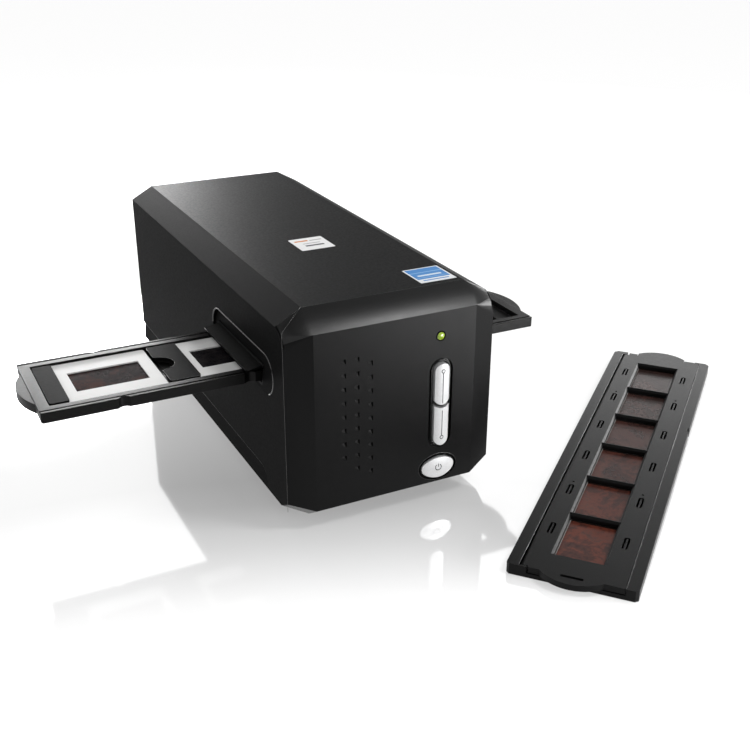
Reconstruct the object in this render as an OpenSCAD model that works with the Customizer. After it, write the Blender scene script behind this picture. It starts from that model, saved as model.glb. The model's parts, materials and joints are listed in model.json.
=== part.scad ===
// Desktop 35 mm film scanner with a slide holder in its slot and a strip film holder beside it.
// Millimetres. +X is the user's right, -Y the front, +Z up. The origin is the middle of the scanner's
// footprint, on the surface that it stands on.

/* [Body] */
// Width of the body, side to side
body_w = 120; // [112:1:130]
// Depth of the body, front face to rear edge
body_d = 272; // [262:1:290]
// Height of the body above the table
body_h = 119; // [117:0.5:124]
// Wall thickness of the plastic mouldings
wall = 2.4; // [2:0.1:2.8]
// Gap under the body that the rubber feet leave
foot_h = 1.5; // [1:0.1:2.5]

/* [Chamfers and bezel] */
// Width of the two long top chamfers
top_chamfer_w = 14; // [10:0.5:18]
// Height of the two long top chamfers
top_chamfer_h = 7.7; // [5:0.1:9]
// Width of the two long bottom chamfers
low_chamfer_w = 15.4; // [10:0.1:18]
// Height of the top of the bottom chamfers above the table
low_edge_z = 10.8; // [9:0.1:12]
// Depth of the bezel in front of the seam across the top
bezel_d = 14.2; // [12:0.1:18]
// How far the flat side facets of the bezel fall back from the front face
facet_d = 5.5; // [4:0.1:7]
// How far the front face's top edge lies below the top
face_drop = 9.5; // [8:0.1:12]
// Radius of the bezel's curved top
brow_r = 45; // [40:1:60]

/* [Slot and dust doors] */
// Height of the middle of the holder above the table
holder_mid_z = 75.45; // [74:0.05:77]
// Distance of the slot's middle behind the front face
slot_back = 70.2; // [66:0.1:76]
// Width of the slot
slot_w = 69.6; // [68.8:0.1:72]
// Depth of the scooped recess round the slot at its upper edge
recess_d = 3; // [2:0.1:3.4]
// Length of a dust door from its hinge axis to its free edge
door_len = 9.9; // [9:0.1:10.2]
// Thickness of a dust door
door_t = 1.2; // [0.9:0.1:1.4]
// Angle below the horizontal at which a dust door rests above the holder
door_rest = 12; // [10:0.5:14]

/* [Slide holder] */
// Width of both film holders
holder_w = 64.4; // [62:0.1:65]
// Thickness of the slide holder
slide_t = 5.5; // [5:0.1:5.8]
// Distance from one slide to the next
slide_pitch = 65.2; // [64:0.1:67]
// Left end of the slide holder, without its thumb tab
slide_x0 = -170.5; // [-174:0.5:-167]
// Right end of the slide holder, without its thumb tab
slide_x1 = 109.2; // [107:0.1:113]
// Outside of a slide mount
mount_w = 50.4; // [50:0.1:50.4]
// Thickness of a slide mount
mount_t = 1.8; // [1.4:0.1:2]

/* [Strip film holder] */
// Length of the strip film holder, without its thumb tab
strip_l = 283; // [272:1:290]
// Thickness of the strip film holder
strip_t = 6; // [5.8:0.1:6.6]
// Distance from one film frame to the next
frame_pitch = 41.9; // [38:0.1:42.2]
// Number of windows in the strip film holder
frames = 6; // [4:1:6]
// Where the strip film holder's near left corner lies, to the right of the scanner's middle
strip_x = 20.4; // [10:0.1:60]
// Where the strip film holder's near left corner lies, behind the scanner's middle
strip_y = -212.4; // [-260:0.1:-205]
// Turn of the strip film holder on the table
strip_turn = 41; // [36:0.5:60]

/* [Front panel] */
// Middle of the buttons, to the right of the scanner's middle
button_x = 26; // [20:0.5:30]
// Width of the two scan buttons
scan_button_w = 8.6; // [8:0.1:9]
// Height of the two scan buttons together
scan_pair_h = 47.4; // [44:0.1:49]
// Travel of each button
button_travel = 0.8; // [0.5:0.1:0.9]
// Height of the power button's middle above the table
power_z = 19.9; // [19:0.1:21]
// Width of the power button
power_w = 19.6; // [18:0.1:20.4]
// Height of the power button
power_h = 12; // [11:0.1:12.6]

/* [Hidden] */
$fn = 96;
tiny = 0.01;
far = 400;

// Body
half_w = body_w / 2;
front_y = -body_d / 2;
rear_y = body_d / 2;
seam_y = front_y + bezel_d;
side_seam_y = front_y + facet_d;
top_edge_x = half_w - top_chamfer_w;
top_side_z = body_h - top_chamfer_h;
low_edge_x = half_w - low_chamfer_w;
low_chamfer_h = low_edge_z - foot_h;
face_top_z = body_h - face_drop;
seam_gap = 0.15;
lip_t = 0.8;
panel_y = rear_y - 4.4;
panel_t = 2.4;

// Slot
slot_y = front_y + slot_back;
slot_low_z = holder_mid_z - 4.65;
slot_high_z = holder_mid_z + 7.35;
recess_low_z = slot_low_z - 1.8;
recess_high_z = slot_high_z + 8.2;
recess_r = (recess_high_z - recess_low_z) / 2;
recess_front_y = slot_y - slot_w / 2 - 16.3;
recess_rear_y = slot_y + slot_w / 2 + 5.6;
recess_tilt = atan(recess_d / (recess_high_z - recess_low_z));
pad_x = half_w - wall - 2.6;
pad_margin = 3;
flange_t = 1.5;
frame_t = 1.2;
pin_x = half_w - 2.1;
pin_z = slot_high_z - 1.5;
pin_r = 0.7;
barrel_r = 1.2;
running = 0.06;
door_w = slot_w - 2 * frame_t - 0.7;

// Relief strips along the bottom of the sides
relief_d = 1.1;
relief_high_z = 22.3;
relief_front_y = front_y + 32.7;
relief_r = 9;

// Film guide and optics
guide_x = pad_x - flange_t;
guide_t = 3;
holder_low_z = holder_mid_z - slide_t / 2;
holder_top_z = holder_mid_z + slide_t / 2;
guide_z = holder_low_z - 0.4;
rail_gap = 0.4;
rail_t = 4.9;
rail_top_z = slot_high_z + 1.2;
gate_w = 46;
gate_d = 30;
chassis_x = 52;
chassis_t = 2;
chassis_z = 10.8;
chassis_front_y = front_y + 17;
chassis_rear_y = rear_y - 12;
rod_r = 3;
front_rod_y = slot_y - 22;
front_rod_z = 36;
rear_rod_y = rear_y - 41;
rear_rod_z = 30;
scan_half = 19;
head_x = 24;
screw_y = front_y + 28;
screw_z = 30;
screw_r = 2.5;
journal_r = 2;
motor_x = 33;
motor_r = 10;

// Front panel
button_proud = 2.4;
scan_gap = 0.7;
power_gap = 0.5;
scan_z = 57.6;
split_gap = 1;
split_low_r = 6.6;
bridge_t = 0.7;
split_z = scan_z - 0.8;
trim_w = 13.8;
trim_h = 51.8;
trim_depth = 2.6;
trough_depth = 1.5;
rim_t = 0.8;
rim_sunk = 0.1;
power_trim_w = 22.6;
power_trim_h = 15.2;
led_x = button_x - 0.8;
led_z = 96.1;
led_r = 2.3;
board_y = front_y + 8.5;
board_t = 1.6;
dimple = 2.4;
dimple_tilt = 18;
dimple_pitch = 7.7;

// Ports
usb_x = -30;
usb_w = 12;
usb_h = 11;
usb_l = 16;
jack_x = -6;
jack_w = 11;
jack_l = 13;
jack_r = 3;
jack_depth = 9;
pcb_z = 14;

// Feet and screws
foot_r = 6;
foot_well = 0.6;
foot_x = half_w - 24;
foot_front_y = front_y + 30;
foot_rear_y = rear_y - 20;
screw_x = 34;
base_screw_ys = [front_y + 48, rear_y - 38];
shank_r = 1.3;
head_r = 2.8;

// Slide holder
slide_floor = 2.3;
seat_z = holder_low_z + slide_floor;
mount_top_z = seat_z + mount_t;
clip_z = mount_top_z + 0.2;
rail_w = 6.9;
end_bar = 5.6;
corner_cut = 1;
clip_half = 23.4;
clip_left = 13.8;
clip_lip = 2.2;
clip_r = 1.6;
ledge_t = 1.2;
ledge_w = 1.5;
pocket_w = 47.4;
film_w = 37;
film_h = 24;
film_t = 0.2;
tab_chord = 40;
tab_rise = 5.6;
notch_r = 3.2;
notch_depth = 1.6;
thumb_r = 8.6;
slide_xs = [for (i = [-2 : 1]) i * slide_pitch];

// Strip film holder
strip_floor = 2.4;
strip_rail = 6.2;
strip_film_w = 35;
strip_film_l = frames * frame_pitch;
strip_film_t = 0.15;
film_x0 = (strip_l - strip_film_l) / 2;
film_x1 = (strip_l + strip_film_l) / 2;
lid_z = strip_floor + 0.35;
lid_y0 = 8.3;
lid_y1 = holder_w - strip_rail - 0.3;
lid_r = (strip_t - lid_z) / 2 + 0.02;
lid_axis_z = strip_t - lid_r;
lid_pin_r = 0.6;
lid_play = 0.3;
lid_open = 95;
near_lug_t = 1.2;
far_lug_l = 4;
lug_high_y = lid_y0 + 1.9;
hinge_pin_l = 9;
ridge_w = 0.5;
bevel = 1.2;
window_w = 27.2;
window_y = 32;
lid_slot_ys = [13.2, 51.2];
lid_slot_l = 11;
lid_slot_w = 3.1;
tongue_w = 0.9;
strip_tab_w = 31.4;
strip_tab_rise = 6.4;
strip_tab_out = 1.6;
near_cut = 2.2;
far_cut = 3.4;
corner_l = 2;
corner_left_y = 9.2;
corner_right_y = 54.9;

// ---- shared shapes ----

// A flat shape drawn in X and Z, stretched from y0 to y1
module along_y(y0, y1)
    translate([0, y1, 0])
        rotate([90, 0, 0])
            linear_extrude(y1 - y0)
                children();

// A flat shape drawn in Y and Z, stretched from x0 to x1
module along_x(x0, x1)
    translate([x0, 0, 0])
        rotate([90, 0, 90])
            linear_extrude(x1 - x0)
                children();

// A box given by its two opposite corners
module span(a, b)
    translate(a)
        cube(b - a);

// A flat rectangle with round corners, centred
module rounded_rect(w, h, r) {
    square([w - 2 * r, h], center = true);
    square([w, h - 2 * r], center = true);
    for (sx = [-1, 1])
        for (sy = [-1, 1])
            translate([sx * (w / 2 - r), sy * (h / 2 - r)])
                circle(r);
}

// An upright pill shape, centred
module pill(w, h) {
    square([w, h - w], center = true);
    for (s = [-1, 1])
        translate([0, s * (h - w) / 2])
            circle(w / 2);
}

// A lying oval of four arcs that meet smoothly, centred
module oval(w, h) {
    a = w / 2;
    b = h / 2;
    r = 0.66 * b;
    big = (pow(a - r, 2) + b * b - r * r) / (2 * (b - r));
    join = (a - r) * big / (big - r);
    intersection() {
        square([2 * join, h], center = true);
        translate([0, big - b])
            circle(big, $fn = 180);
        translate([0, b - big])
            circle(big, $fn = 180);
    }
    for (s = [-1, 1])
        translate([s * (a - r), 0])
            circle(r);
}

// The part of a circle that stands out past a chord on the Y axis, with a root 1 mm deep behind the chord
module thumb_arc(chord, rise) {
    r = (pow(chord / 2, 2) + rise * rise) / (2 * rise);
    intersection() {
        translate([rise - r, 0])
            circle(r, $fn = 180);
        translate([0, -chord])
            square([rise + 1, 2 * chord]);
    }
    translate([-1, 0.5 - chord / 2])
        square([1.2, chord - 1]);
}

// Both sides of something made for the left side
module both_sides() {
    children();
    mirror([1, 0, 0])
        children();
}

// ---- body shell ----

// The eight-sided cross-section, moved in by t on every side
module section(t) {
    lean_top = atan(top_chamfer_h / top_chamfer_w);
    lean_low = atan(low_chamfer_h / low_chamfer_w);
    top_x = top_edge_x - t * tan(lean_top / 2);
    top_z = top_side_z - t * tan((90 - lean_top) / 2);
    low_x = low_edge_x - t * tan(lean_low / 2);
    low_z = low_edge_z + t * tan((90 - lean_low) / 2);
    polygon([
        [-low_x, foot_h + t], [low_x, foot_h + t], [half_w - t, low_z], [half_w - t, top_z],
        [top_x, body_h - t], [-top_x, body_h - t], [t - half_w, top_z], [t - half_w, low_z]
    ]);
}

// Points of an arc about [cy, cz], from the angle a0 to a1
function arc(cy, cz, r, a0, a1, n) = [for (i = [0 : n]) [cy + r * cos(a0 + (a1 - a0) * i / n),
                                                         cz + r * sin(a0 + (a1 - a0) * i / n)]];

// The bezel's outer form, moved in by t, from back_y forward: the curved brow at its full width of the
// face, blended to the side facets
module nose(t, back_y) {
    chord = norm([bezel_d, face_drop]);
    reach = sqrt(brow_r * brow_r - chord * chord / 4);
    brow_y = (front_y + seam_y) / 2 + reach * face_drop / chord;
    brow_z = (face_top_z + body_h) / 2 - reach * bezel_d / chord;
    face_a = 180 - asin((face_top_z - brow_z) / brow_r);
    seam_a = 90 + asin((brow_y - seam_y) / brow_r);
    side_drop = bezel_d - facet_d;
    side_rise = top_side_z - 100;
    side_r = (side_drop * side_drop + side_rise * side_rise) / (2 * side_drop);
    side_y = side_seam_y + side_r;
    side_a = 90 + asin((side_y - seam_y) / side_r);
    low_corner_z = low_edge_z + low_chamfer_h * top_chamfer_w * side_drop / (low_chamfer_w * bezel_d);
    hull() {
        along_x(t * 0.2 - top_edge_x, top_edge_x - t * 0.2)
            polygon(concat([[back_y, low_edge_z + t * 0.3], [front_y + t, low_edge_z + t * 0.3]],
                arc(brow_y, brow_z, brow_r - t, face_a, seam_a, 10), [[back_y, body_h - t]]));
        along_x(t * 0.3 - low_edge_x, low_edge_x - t * 0.3)
            polygon([[back_y, foot_h + t], [seam_y + t * 0.3, foot_h + t], [seam_y, low_edge_z],
                [back_y, low_edge_z]]);
        along_x(t - half_w, half_w - t)
            polygon(concat([[back_y, low_edge_z + t * 0.55], [seam_y, low_edge_z + t * 0.55],
                    [side_seam_y + t * 0.7, low_corner_z]],
                arc(side_y, 100 - t * 0.5, side_r - t * 0.7, 180, side_a, 10),
                [[back_y, top_side_z - t * 0.55]]));
    }
}

// The scooped recess round the slot on the left side: flush at its foot and deepest under its upper edge
module slot_recess() {
    intersection() {
        along_x(-half_w - 1, -pad_x)
            union() {
                translate([recess_front_y + recess_r, recess_low_z])
                    square([recess_rear_y - recess_front_y - 2 * recess_r, 2 * recess_r]);
                for (y = [recess_front_y + recess_r, recess_rear_y - recess_r])
                    translate([y, recess_low_z + recess_r])
                        circle(recess_r);
            }
        translate([-half_w, 0, recess_low_z])
            rotate([0, recess_tilt, 0])
                span([-20, -far, -10], [0, far, 60]);
    }
}

// The shallow relief strip along the bottom of the left side
module side_relief() {
    tilt = atan(relief_d / (relief_high_z - low_edge_z));
    intersection() {
        along_x(-half_w - 1, -half_w + relief_d + 1)
            union() {
                translate([relief_front_y + relief_r, 0])
                    square([far, relief_high_z]);
                translate([relief_front_y, 0])
                    square([far, relief_high_z - relief_r]);
                translate([relief_front_y + relief_r, relief_high_z - relief_r])
                    circle(relief_r);
            }
        translate([-half_w, 0, low_edge_z])
            rotate([0, tilt, 0])
                span([-20, -far, -20], [0, far, 60]);
    }
}

// The slot's opening through the left wall, drawn from x0 to x1
module slot_hole(x0, x1, inset)
    span([x0, slot_y - slot_w / 2 + inset, slot_low_z + inset],
        [x1, slot_y + slot_w / 2 - inset, slot_high_z]);

// The thick patch behind the left recess, which keeps a full wall there
module recess_pad()
    span([wall - half_w - tiny, recess_front_y - 1.5, recess_low_z - pad_margin],
        [-pad_x, recess_rear_y + pad_margin, recess_high_z + pad_margin]);

// The thin lip of the cover's left side that runs forward over the bezel
module side_lip() {
    drop = bezel_d - facet_d - seam_gap;
    rise = top_side_z - 100;
    r = (drop * drop + rise * rise) / (2 * drop);
    centre_y = side_seam_y + seam_gap + r;
    seam_a = 90 + asin((centre_y - seam_y) / r);
    along_x(-half_w, lip_t - half_w)
        polygon(concat([[seam_y + tiny, low_edge_z], [seam_y - tiny, low_edge_z],
                [side_seam_y + seam_gap, low_edge_z + 5.2]],
            arc(centre_y, 100, r, 180, seam_a, 12), [[seam_y + tiny, top_side_z]]));
}

module top_cover() {
    color("#1b1b1d")
        difference() {
            union() {
                difference() {
                    along_y(seam_y, rear_y)
                        section(0);
                    along_y(seam_y - 1, rear_y + 1)
                        section(wall);
                }
                both_sides()
                    recess_pad();
                both_sides()
                    side_lip();
            }
            span([-far, -far, 0], [far, far, low_edge_z]);
            both_sides() {
                slot_recess();
                side_relief();
                slot_hole(-half_w - 1, 1 - pad_x, 0);
            }
        }
}

module base_tray() {
    boss_top = chassis_z;
    color("#161617")
        difference() {
            union() {
                intersection() {
                    difference() {
                        along_y(seam_y + seam_gap, panel_y + panel_t)
                            section(0);
                        along_y(seam_y - 1, panel_y)
                            section(wall);
                    }
                    span([-far, -far, 0], [far, far, low_edge_z]);
                }
                // the lip that the cover slips over
                intersection() {
                    difference() {
                        along_y(seam_y + 8, panel_y)
                            section(wall);
                        along_y(seam_y, rear_y)
                            section(wall + 1.4);
                    }
                    span([-far, -far, low_edge_z - 3], [far, far, low_edge_z + 5]);
                }
                for (x = [-screw_x, screw_x])
                    for (y = base_screw_ys)
                        translate([x, y, foot_h + 1])
                            cylinder(r = 4.2, h = boss_top - foot_h - 1);
            }
            for (x = [-foot_x, foot_x])
                for (y = [foot_front_y, foot_rear_y])
                    translate([x, y, foot_h - 1])
                        cylinder(r = foot_r + 0.25, h = 1 + foot_well);
            for (x = [-screw_x, screw_x])
                for (y = base_screw_ys)
                    translate([x, y, 0]) {
                        cylinder(r = head_r + 0.2, h = foot_h + 2);
                        cylinder(r = shank_r + 0.2, h = far, center = true);
                    }
        }
}

module rubber_feet() {
    color("#0c0c0c")
        for (x = [-foot_x, foot_x])
            for (y = [foot_front_y, foot_rear_y])
                translate([x, y, 0]) {
                    cylinder(r = foot_r - 0.8, h = foot_h + foot_well);
                    translate([0, 0, 0.5])
                        cylinder(r = foot_r, h = foot_h + foot_well - 0.5);
                }
}

module base_screws() {
    color("#5a5c5e")
        for (x = [-screw_x, screw_x])
            for (y = base_screw_ys)
                translate([x, y, foot_h + 0.4])
                    difference() {
                        union() {
                            cylinder(r = head_r, h = 1.6);
                            cylinder(r = shank_r, h = chassis_z + 1.6 - foot_h);
                        }
                        for (a = [0, 90])
                            rotate([0, 0, a])
                                span([-1.8, -0.35, -1], [1.8, 0.35, 0.9]);
                    }
}

// The field of small wedge-shaped dimples, each deepest at its upper right: three columns of different height
module dimples() {
    columns = [[-30, 92.2, 8], [-22.6, 92.1, 9], [-15, 88.7, 9]];
    for (c = columns)
        for (i = [0 : c[2] - 1])
            translate([c[0], front_y, c[1] - i * dimple_pitch])
                rotate([-dimple_tilt, 0, dimple_tilt])
                    span([-dimple / 2, -1, -dimple / 2], [dimple / 2, 0.45, dimple / 2]);
}

// Posts on the back of the face that carry the button board
module board_posts()
    for (x = [14, 38])
        for (z = [led_z + 7, led_z - 64])
            translate([x, board_y, z])
                rotate([90, 0, 0])
                    cylinder(r = 2, h = board_y - front_y - wall / 2);

module front_bezel() {
    color("#1b1b1d")
        difference() {
            union() {
                difference() {
                    nose(0, seam_y - seam_gap);
                    nose(wall, seam_y + 2);
                    both_sides()
                        span([-half_w - 1, side_seam_y, 0], [lip_t + seam_gap - half_w, 0, far]);
                }
                // the spigot that slips inside the cover
                difference() {
                    along_y(seam_y - 3.4, seam_y + 3)
                        section(wall);
                    along_y(seam_y - 9, seam_y + 9)
                        section(wall + 1.5);
                    span([-far, -far, 0], [far, far, low_edge_z + 6]);
                }
                board_posts();
            }
            dimples();
            translate([button_x, 0, scan_z])
                along_y(front_y - 1, front_y + 5)
                    pill(trim_w + 0.1, trim_h + 0.1);
            translate([button_x - 0.7, 0, power_z])
                along_y(front_y - 1, front_y + 5)
                    oval(power_trim_w + 0.1, power_trim_h + 0.1);
            translate([led_x, front_y + 9, led_z])
                rotate([90, 0, 0])
                    cylinder(r = led_r + 0.1, h = 12);
        }
}

module rear_panel() {
    color("#161617")
        difference() {
            along_y(panel_y, panel_y + panel_t)
                section(wall);
            span([usb_x - usb_w / 2 - 0.3, 0, pcb_z + board_t - 0.3],
                [usb_x + usb_w / 2 + 0.3, far, pcb_z + board_t + usb_h + 0.3]);
            translate([jack_x, far, pcb_z + board_t + jack_w / 2])
                rotate([90, 0, 0])
                    cylinder(r = 4.4, h = far);
            // the sunk field round the ports
            translate([(usb_x + jack_x) / 2, 0, pcb_z + board_t + usb_h / 2])
                along_y(panel_y + panel_t - 0.8, panel_y + panel_t + 1)
                    rounded_rect(50, 20, 3);
            // the chamfered lower edge lies on the base tray
            span([-far, -far, 0], [far, far, low_edge_z]);
        }
}

// ---- slot frames and dust doors, made for the left side ----

module slot_frame() {
    difference() {
        union() {
            difference() {
                span([0.2 - half_w, slot_y - slot_w / 2 + 0.05, slot_low_z + 0.05],
                    [-pad_x, slot_y + slot_w / 2 - 0.05, slot_high_z - 0.05]);
                slot_recess();
            }
            span([-pad_x, slot_y - slot_w / 2 - 5, slot_low_z - 3],
                [-guide_x, slot_y + slot_w / 2 + 5, slot_high_z + 5]);
            // the lugs that carry the ends of the pin
            translate([-pin_x, slot_y - slot_w / 2 + 0.05, pin_z])
                rotate([-90, 0, 0])
                    cylinder(r = barrel_r, h = slot_w - 0.1);
        }
        slot_hole(-half_w - 1, 0, frame_t);
        // room for the door's barrel, which takes up the top of the opening
        span([-half_w - 1, slot_y - slot_w / 2 + frame_t, pin_z - barrel_r - 0.3],
            [1 - guide_x, slot_y + slot_w / 2 - frame_t, slot_high_z]);
        translate([-pin_x, slot_y - slot_w / 2 + 0.2, pin_z])
            rotate([-90, 0, 0])
                cylinder(r = pin_r, h = slot_w - 0.4);
    }
}

module door_pin()
    translate([-pin_x, slot_y - slot_w / 2 + 0.2, pin_z])
        rotate([-90, 0, 0])
            cylinder(r = pin_r, h = slot_w - 0.4);

module dust_door()
    translate([-pin_x, slot_y, pin_z])
        rotate([0, -door_rest, 0])
            difference() {
                union() {
                    rotate([90, 0, 0])
                        cylinder(r = barrel_r, h = door_w, center = true);
                    span([-door_len, -door_w / 2, -door_t / 2], [0, door_w / 2, door_t / 2]);
                    // the stiffening lip along the free edge
                    span([-door_len, -door_w / 2, -door_t / 2], [1 - door_len, door_w / 2, door_t / 2 + 0.5]);
                }
                rotate([90, 0, 0])
                    cylinder(r = pin_r + running, h = door_w + 1, center = true);
            }

module left_slot_frame() { color("#1b1b1d") slot_frame(); }
module right_slot_frame() { color("#1b1b1d") mirror([1, 0, 0]) slot_frame(); }
module left_door_pin() { color("#b9bcc0") door_pin(); }
module right_door_pin() { color("#b9bcc0") mirror([1, 0, 0]) door_pin(); }
module left_dust_door() { color("#151516") dust_door(); }
module right_dust_door() { color("#151516") mirror([1, 0, 0]) dust_door(); }

// ---- front panel ----

// A ring in the face: a trough along its outside and a raised rim round the button. The children are its
// outline, the outline of the rim and the openings
module sunk_trim() {
    along_y(front_y + trough_depth, front_y + trim_depth)
        difference() {
            children(0);
            children(2);
        }
    along_y(front_y + rim_sunk, front_y + trough_depth)
        difference() {
            children(1);
            children(2);
        }
}

// The two openings for the scan buttons, with a curved bridge between them
module scan_openings() {
    w = scan_button_w + 2 * scan_gap;
    h = scan_pair_h + 2 * scan_gap;
    low_r = split_low_r - split_gap + bridge_t / 2;
    cut_z = split_z - scan_z;
    intersection() {
        pill(w, h);
        translate([0, cut_z + bridge_t / 2 + w / 2]) {
            circle(w / 2);
            translate([-w, 0])
                square([2 * w, h]);
        }
    }
    difference() {
        pill(w, h);
        translate([0, cut_z - bridge_t / 2 + low_r])
            circle(low_r);
        translate([-w, cut_z + 1.2])
            square([2 * w, h]);
    }
}

module scan_button_trim() {
    w = scan_button_w + 2 * scan_gap + 2 * rim_t;
    h = scan_pair_h + 2 * scan_gap + 2 * rim_t;
    color("#0d0d0e")
        translate([button_x, 0, scan_z])
            sunk_trim() {
                pill(trim_w, trim_h);
                pill(w, h);
                scan_openings();
            }
}

module power_button_trim() {
    rim = 2 * (power_gap + 0.5);
    color("#0d0d0e")
        translate([button_x - 0.7, 0, power_z])
            sunk_trim() {
                oval(power_trim_w, power_trim_h);
                oval(power_w + rim, power_h + rim);
                oval(power_w + 2 * power_gap, power_h + 2 * power_gap);
            }
}

// The outline of one of the two scan buttons: the pill, cut along an arc that bulges downwards
module scan_outline(upper, grow) {
    w = scan_button_w + 2 * grow;
    cut_z = split_z - scan_z;
    up_r = scan_button_w / 2 + scan_gap;
    if (upper)
        intersection() {
            pill(w, scan_pair_h + 2 * grow);
            translate([0, cut_z + split_gap + up_r]) {
                circle(up_r);
                translate([-w, 0])
                    square([2 * w, scan_pair_h]);
            }
        }
    else
        difference() {
            pill(w, scan_pair_h + 2 * grow);
            translate([0, cut_z - split_gap + split_low_r])
                circle(split_low_r);
            translate([-w, cut_z + 0.4])
                square([2 * w, scan_pair_h]);
        }
}

// A scan button: a crowned front, a neck through the trim, and a flange that holds it behind the trim
module scan_button(upper) {
    back_y = front_y + trim_depth + 0.9;
    crown_r = 9;
    intersection() {
        along_y(front_y - button_proud, back_y)
            scan_outline(upper, 0);
        translate([0, front_y - button_proud + crown_r, -scan_pair_h])
            cylinder(r = crown_r, h = 2 * scan_pair_h, $fn = 180);
    }
    along_y(back_y - 0.5, back_y + 0.5)
        scan_outline(upper, -0.5);
    along_y(back_y + 0.3, back_y + 1.2)
        scan_outline(upper, 1.1);
    // the stem that presses the switch
    translate([0, back_y + 1.2, upper ? 12 : -12])
        rotate([-90, 0, 0])
            cylinder(r = 1.5, h = 0.6);
}

module upper_scan_button() { color("#c9ccd0") translate([button_x, 0, scan_z]) scan_button(true); }
module lower_scan_button() { color("#c9ccd0") translate([button_x, 0, scan_z]) scan_button(false); }

module power_button() {
    back_y = front_y + trim_depth + 0.9;
    dome_r = 30;
    color("#c9ccd0")
        translate([button_x - 0.7, 0, power_z]) {
            intersection() {
                along_y(front_y - 2, back_y + 1.2)
                    oval(power_w, power_h);
                translate([0, front_y - 2 + dome_r, 0])
                    sphere(dome_r, $fn = 128);
            }
            along_y(back_y + 0.3, back_y + 1.2)
                oval(power_w + 2, power_h + 2);
            translate([0, back_y + 1.2, 0])
                rotate([-90, 0, 0])
                    cylinder(r = 1.5, h = 0.6);
        }
}

module status_lens() {
    color("#b7d334")
        translate([led_x, board_y - 1.2, led_z])
            rotate([90, 0, 0]) {
                cylinder(r = led_r, h = board_y - 1.2 - front_y);
                translate([0, 0, board_y - 1.2 - front_y])
                    intersection() {
                        translate([0, 0, -3])
                            sphere(3.7);
                        cylinder(r = led_r - 0.1, h = 3);
                    }
                // the shoulder that stops it behind the face
                cylinder(r = led_r + 0.8, h = board_y - 1.2 - front_y - wall - 0.5);
            }
}

module button_board() {
    color("#1f5a37")
        span([10, board_y, 11], [42, board_y + board_t, led_z + 11]);
}

module tact_switches() {
    stem_end = front_y + trim_depth + 2.7;
    color("#2b2b2e")
        for (p = [[button_x, scan_z + 12], [button_x, scan_z - 12], [button_x - 0.7, power_z]])
            translate([p[0], 0, p[1]]) {
                span([-3, board_y - 1.6, -3], [3, board_y, 3]);
                translate([0, board_y, 0])
                    rotate([90, 0, 0])
                        cylinder(r = 1.6, h = board_y - stem_end - button_travel - 0.3);
            }
    color("#d8d8d0")
        span([led_x - 1.5, board_y - 1.2, led_z - 1.5], [led_x + 1.5, board_y, led_z + 1.5]);
}

// ---- chassis, film guide and lamp ----

module rod_bore(y, z, r)
    translate([-chassis_x - 1, y, z])
        rotate([0, 90, 0])
            cylinder(r = r, h = 2 * chassis_x + 2);

module chassis() {
    wall_top = guide_z - guide_t;
    color("#8f9296")
        difference() {
            union() {
                span([-chassis_x, chassis_front_y, chassis_z],
                    [chassis_x, chassis_rear_y, chassis_z + chassis_t]);
                both_sides() {
                    span([-chassis_x, chassis_front_y, chassis_z],
                        [chassis_t - chassis_x, slot_y + slot_w / 2, wall_top]);
                    span([-chassis_x, rear_rod_y - 12, chassis_z],
                        [chassis_t - chassis_x, rear_rod_y + 12, rear_rod_z + 10]);
                }
                for (x = [-40, 40])
                    for (y = [8, 106])
                        translate([x, y, chassis_z])
                            cylinder(r = 3, h = pcb_z - chassis_z);
            }
            rod_bore(front_rod_y, front_rod_z, rod_r);
            rod_bore(rear_rod_y, rear_rod_z, rod_r);
            translate([-chassis_x - 1, screw_y, screw_z])
                rotate([0, 90, 0])
                    cylinder(r = journal_r + running, h = 9);
            for (x = [-screw_x, screw_x])
                for (y = base_screw_ys)
                    translate([x, y, 0])
                        cylinder(r = shank_r, h = 30);
        }
}

module film_guide() {
    half = holder_w / 2 + rail_gap;
    color("#1d1d1f")
        difference() {
            union() {
                span([-guide_x, slot_y - half - rail_t, guide_z - guide_t],
                    [guide_x, slot_y + half + rail_t, guide_z]);
                for (s = [-1, 1])
                    span([-guide_x, slot_y + s * (half + rail_t / 2) - rail_t / 2, guide_z - guide_t],
                        [guide_x, slot_y + s * (half + rail_t / 2) + rail_t / 2, rail_top_z]);
            }
            span([-gate_w / 2, slot_y - gate_d / 2, 0], [gate_w / 2, slot_y + gate_d / 2, guide_z + 1]);
            // pockets for the detent springs in the front rail
            for (x = [-12, 12])
                span([x - 7, slot_y - half - 2.4, guide_z + 0.6],
                    [x + 7, slot_y - half + 1, holder_top_z + 1]);
        }
}

// A bowed leaf, cut from between two arcs
module leaf(chord, rise, t)
    rotate([0, 0, 90])
        linear_extrude(3.6)
            difference() {
                thumb_arc(chord, rise);
                translate([-t, 0])
                    thumb_arc(chord, rise);
                translate([-2, -chord])
                    square([2, 2 * chord]);
            }

// Bowed leaf springs that press the holder's side; drawn pressed back, just clear of it
module detent_springs() {
    half = holder_w / 2 + rail_gap;
    color("#c8cacc")
        for (x = [-12, 12])
            translate([x, slot_y - half - 2.4, guide_z + 1])
                leaf(13.2, 2.2, 0.5);
}

module lamp_housing() {
    half = holder_w / 2 + rail_gap + rail_t;
    top_z = body_h - wall - 6;
    color("#242426")
        difference() {
            span([-36, slot_y - half, rail_top_z], [36, slot_y + half, top_z]);
            span([-33, slot_y - 26, rail_top_z - 1], [33, slot_y + 26, top_z - 2.4]);
        }
}

module lamp_diffuser() {
    color("#f4f4f0")
        span([-33, slot_y - 26, rail_top_z + 1], [33, slot_y + 26, rail_top_z + 3]);
}

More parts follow.
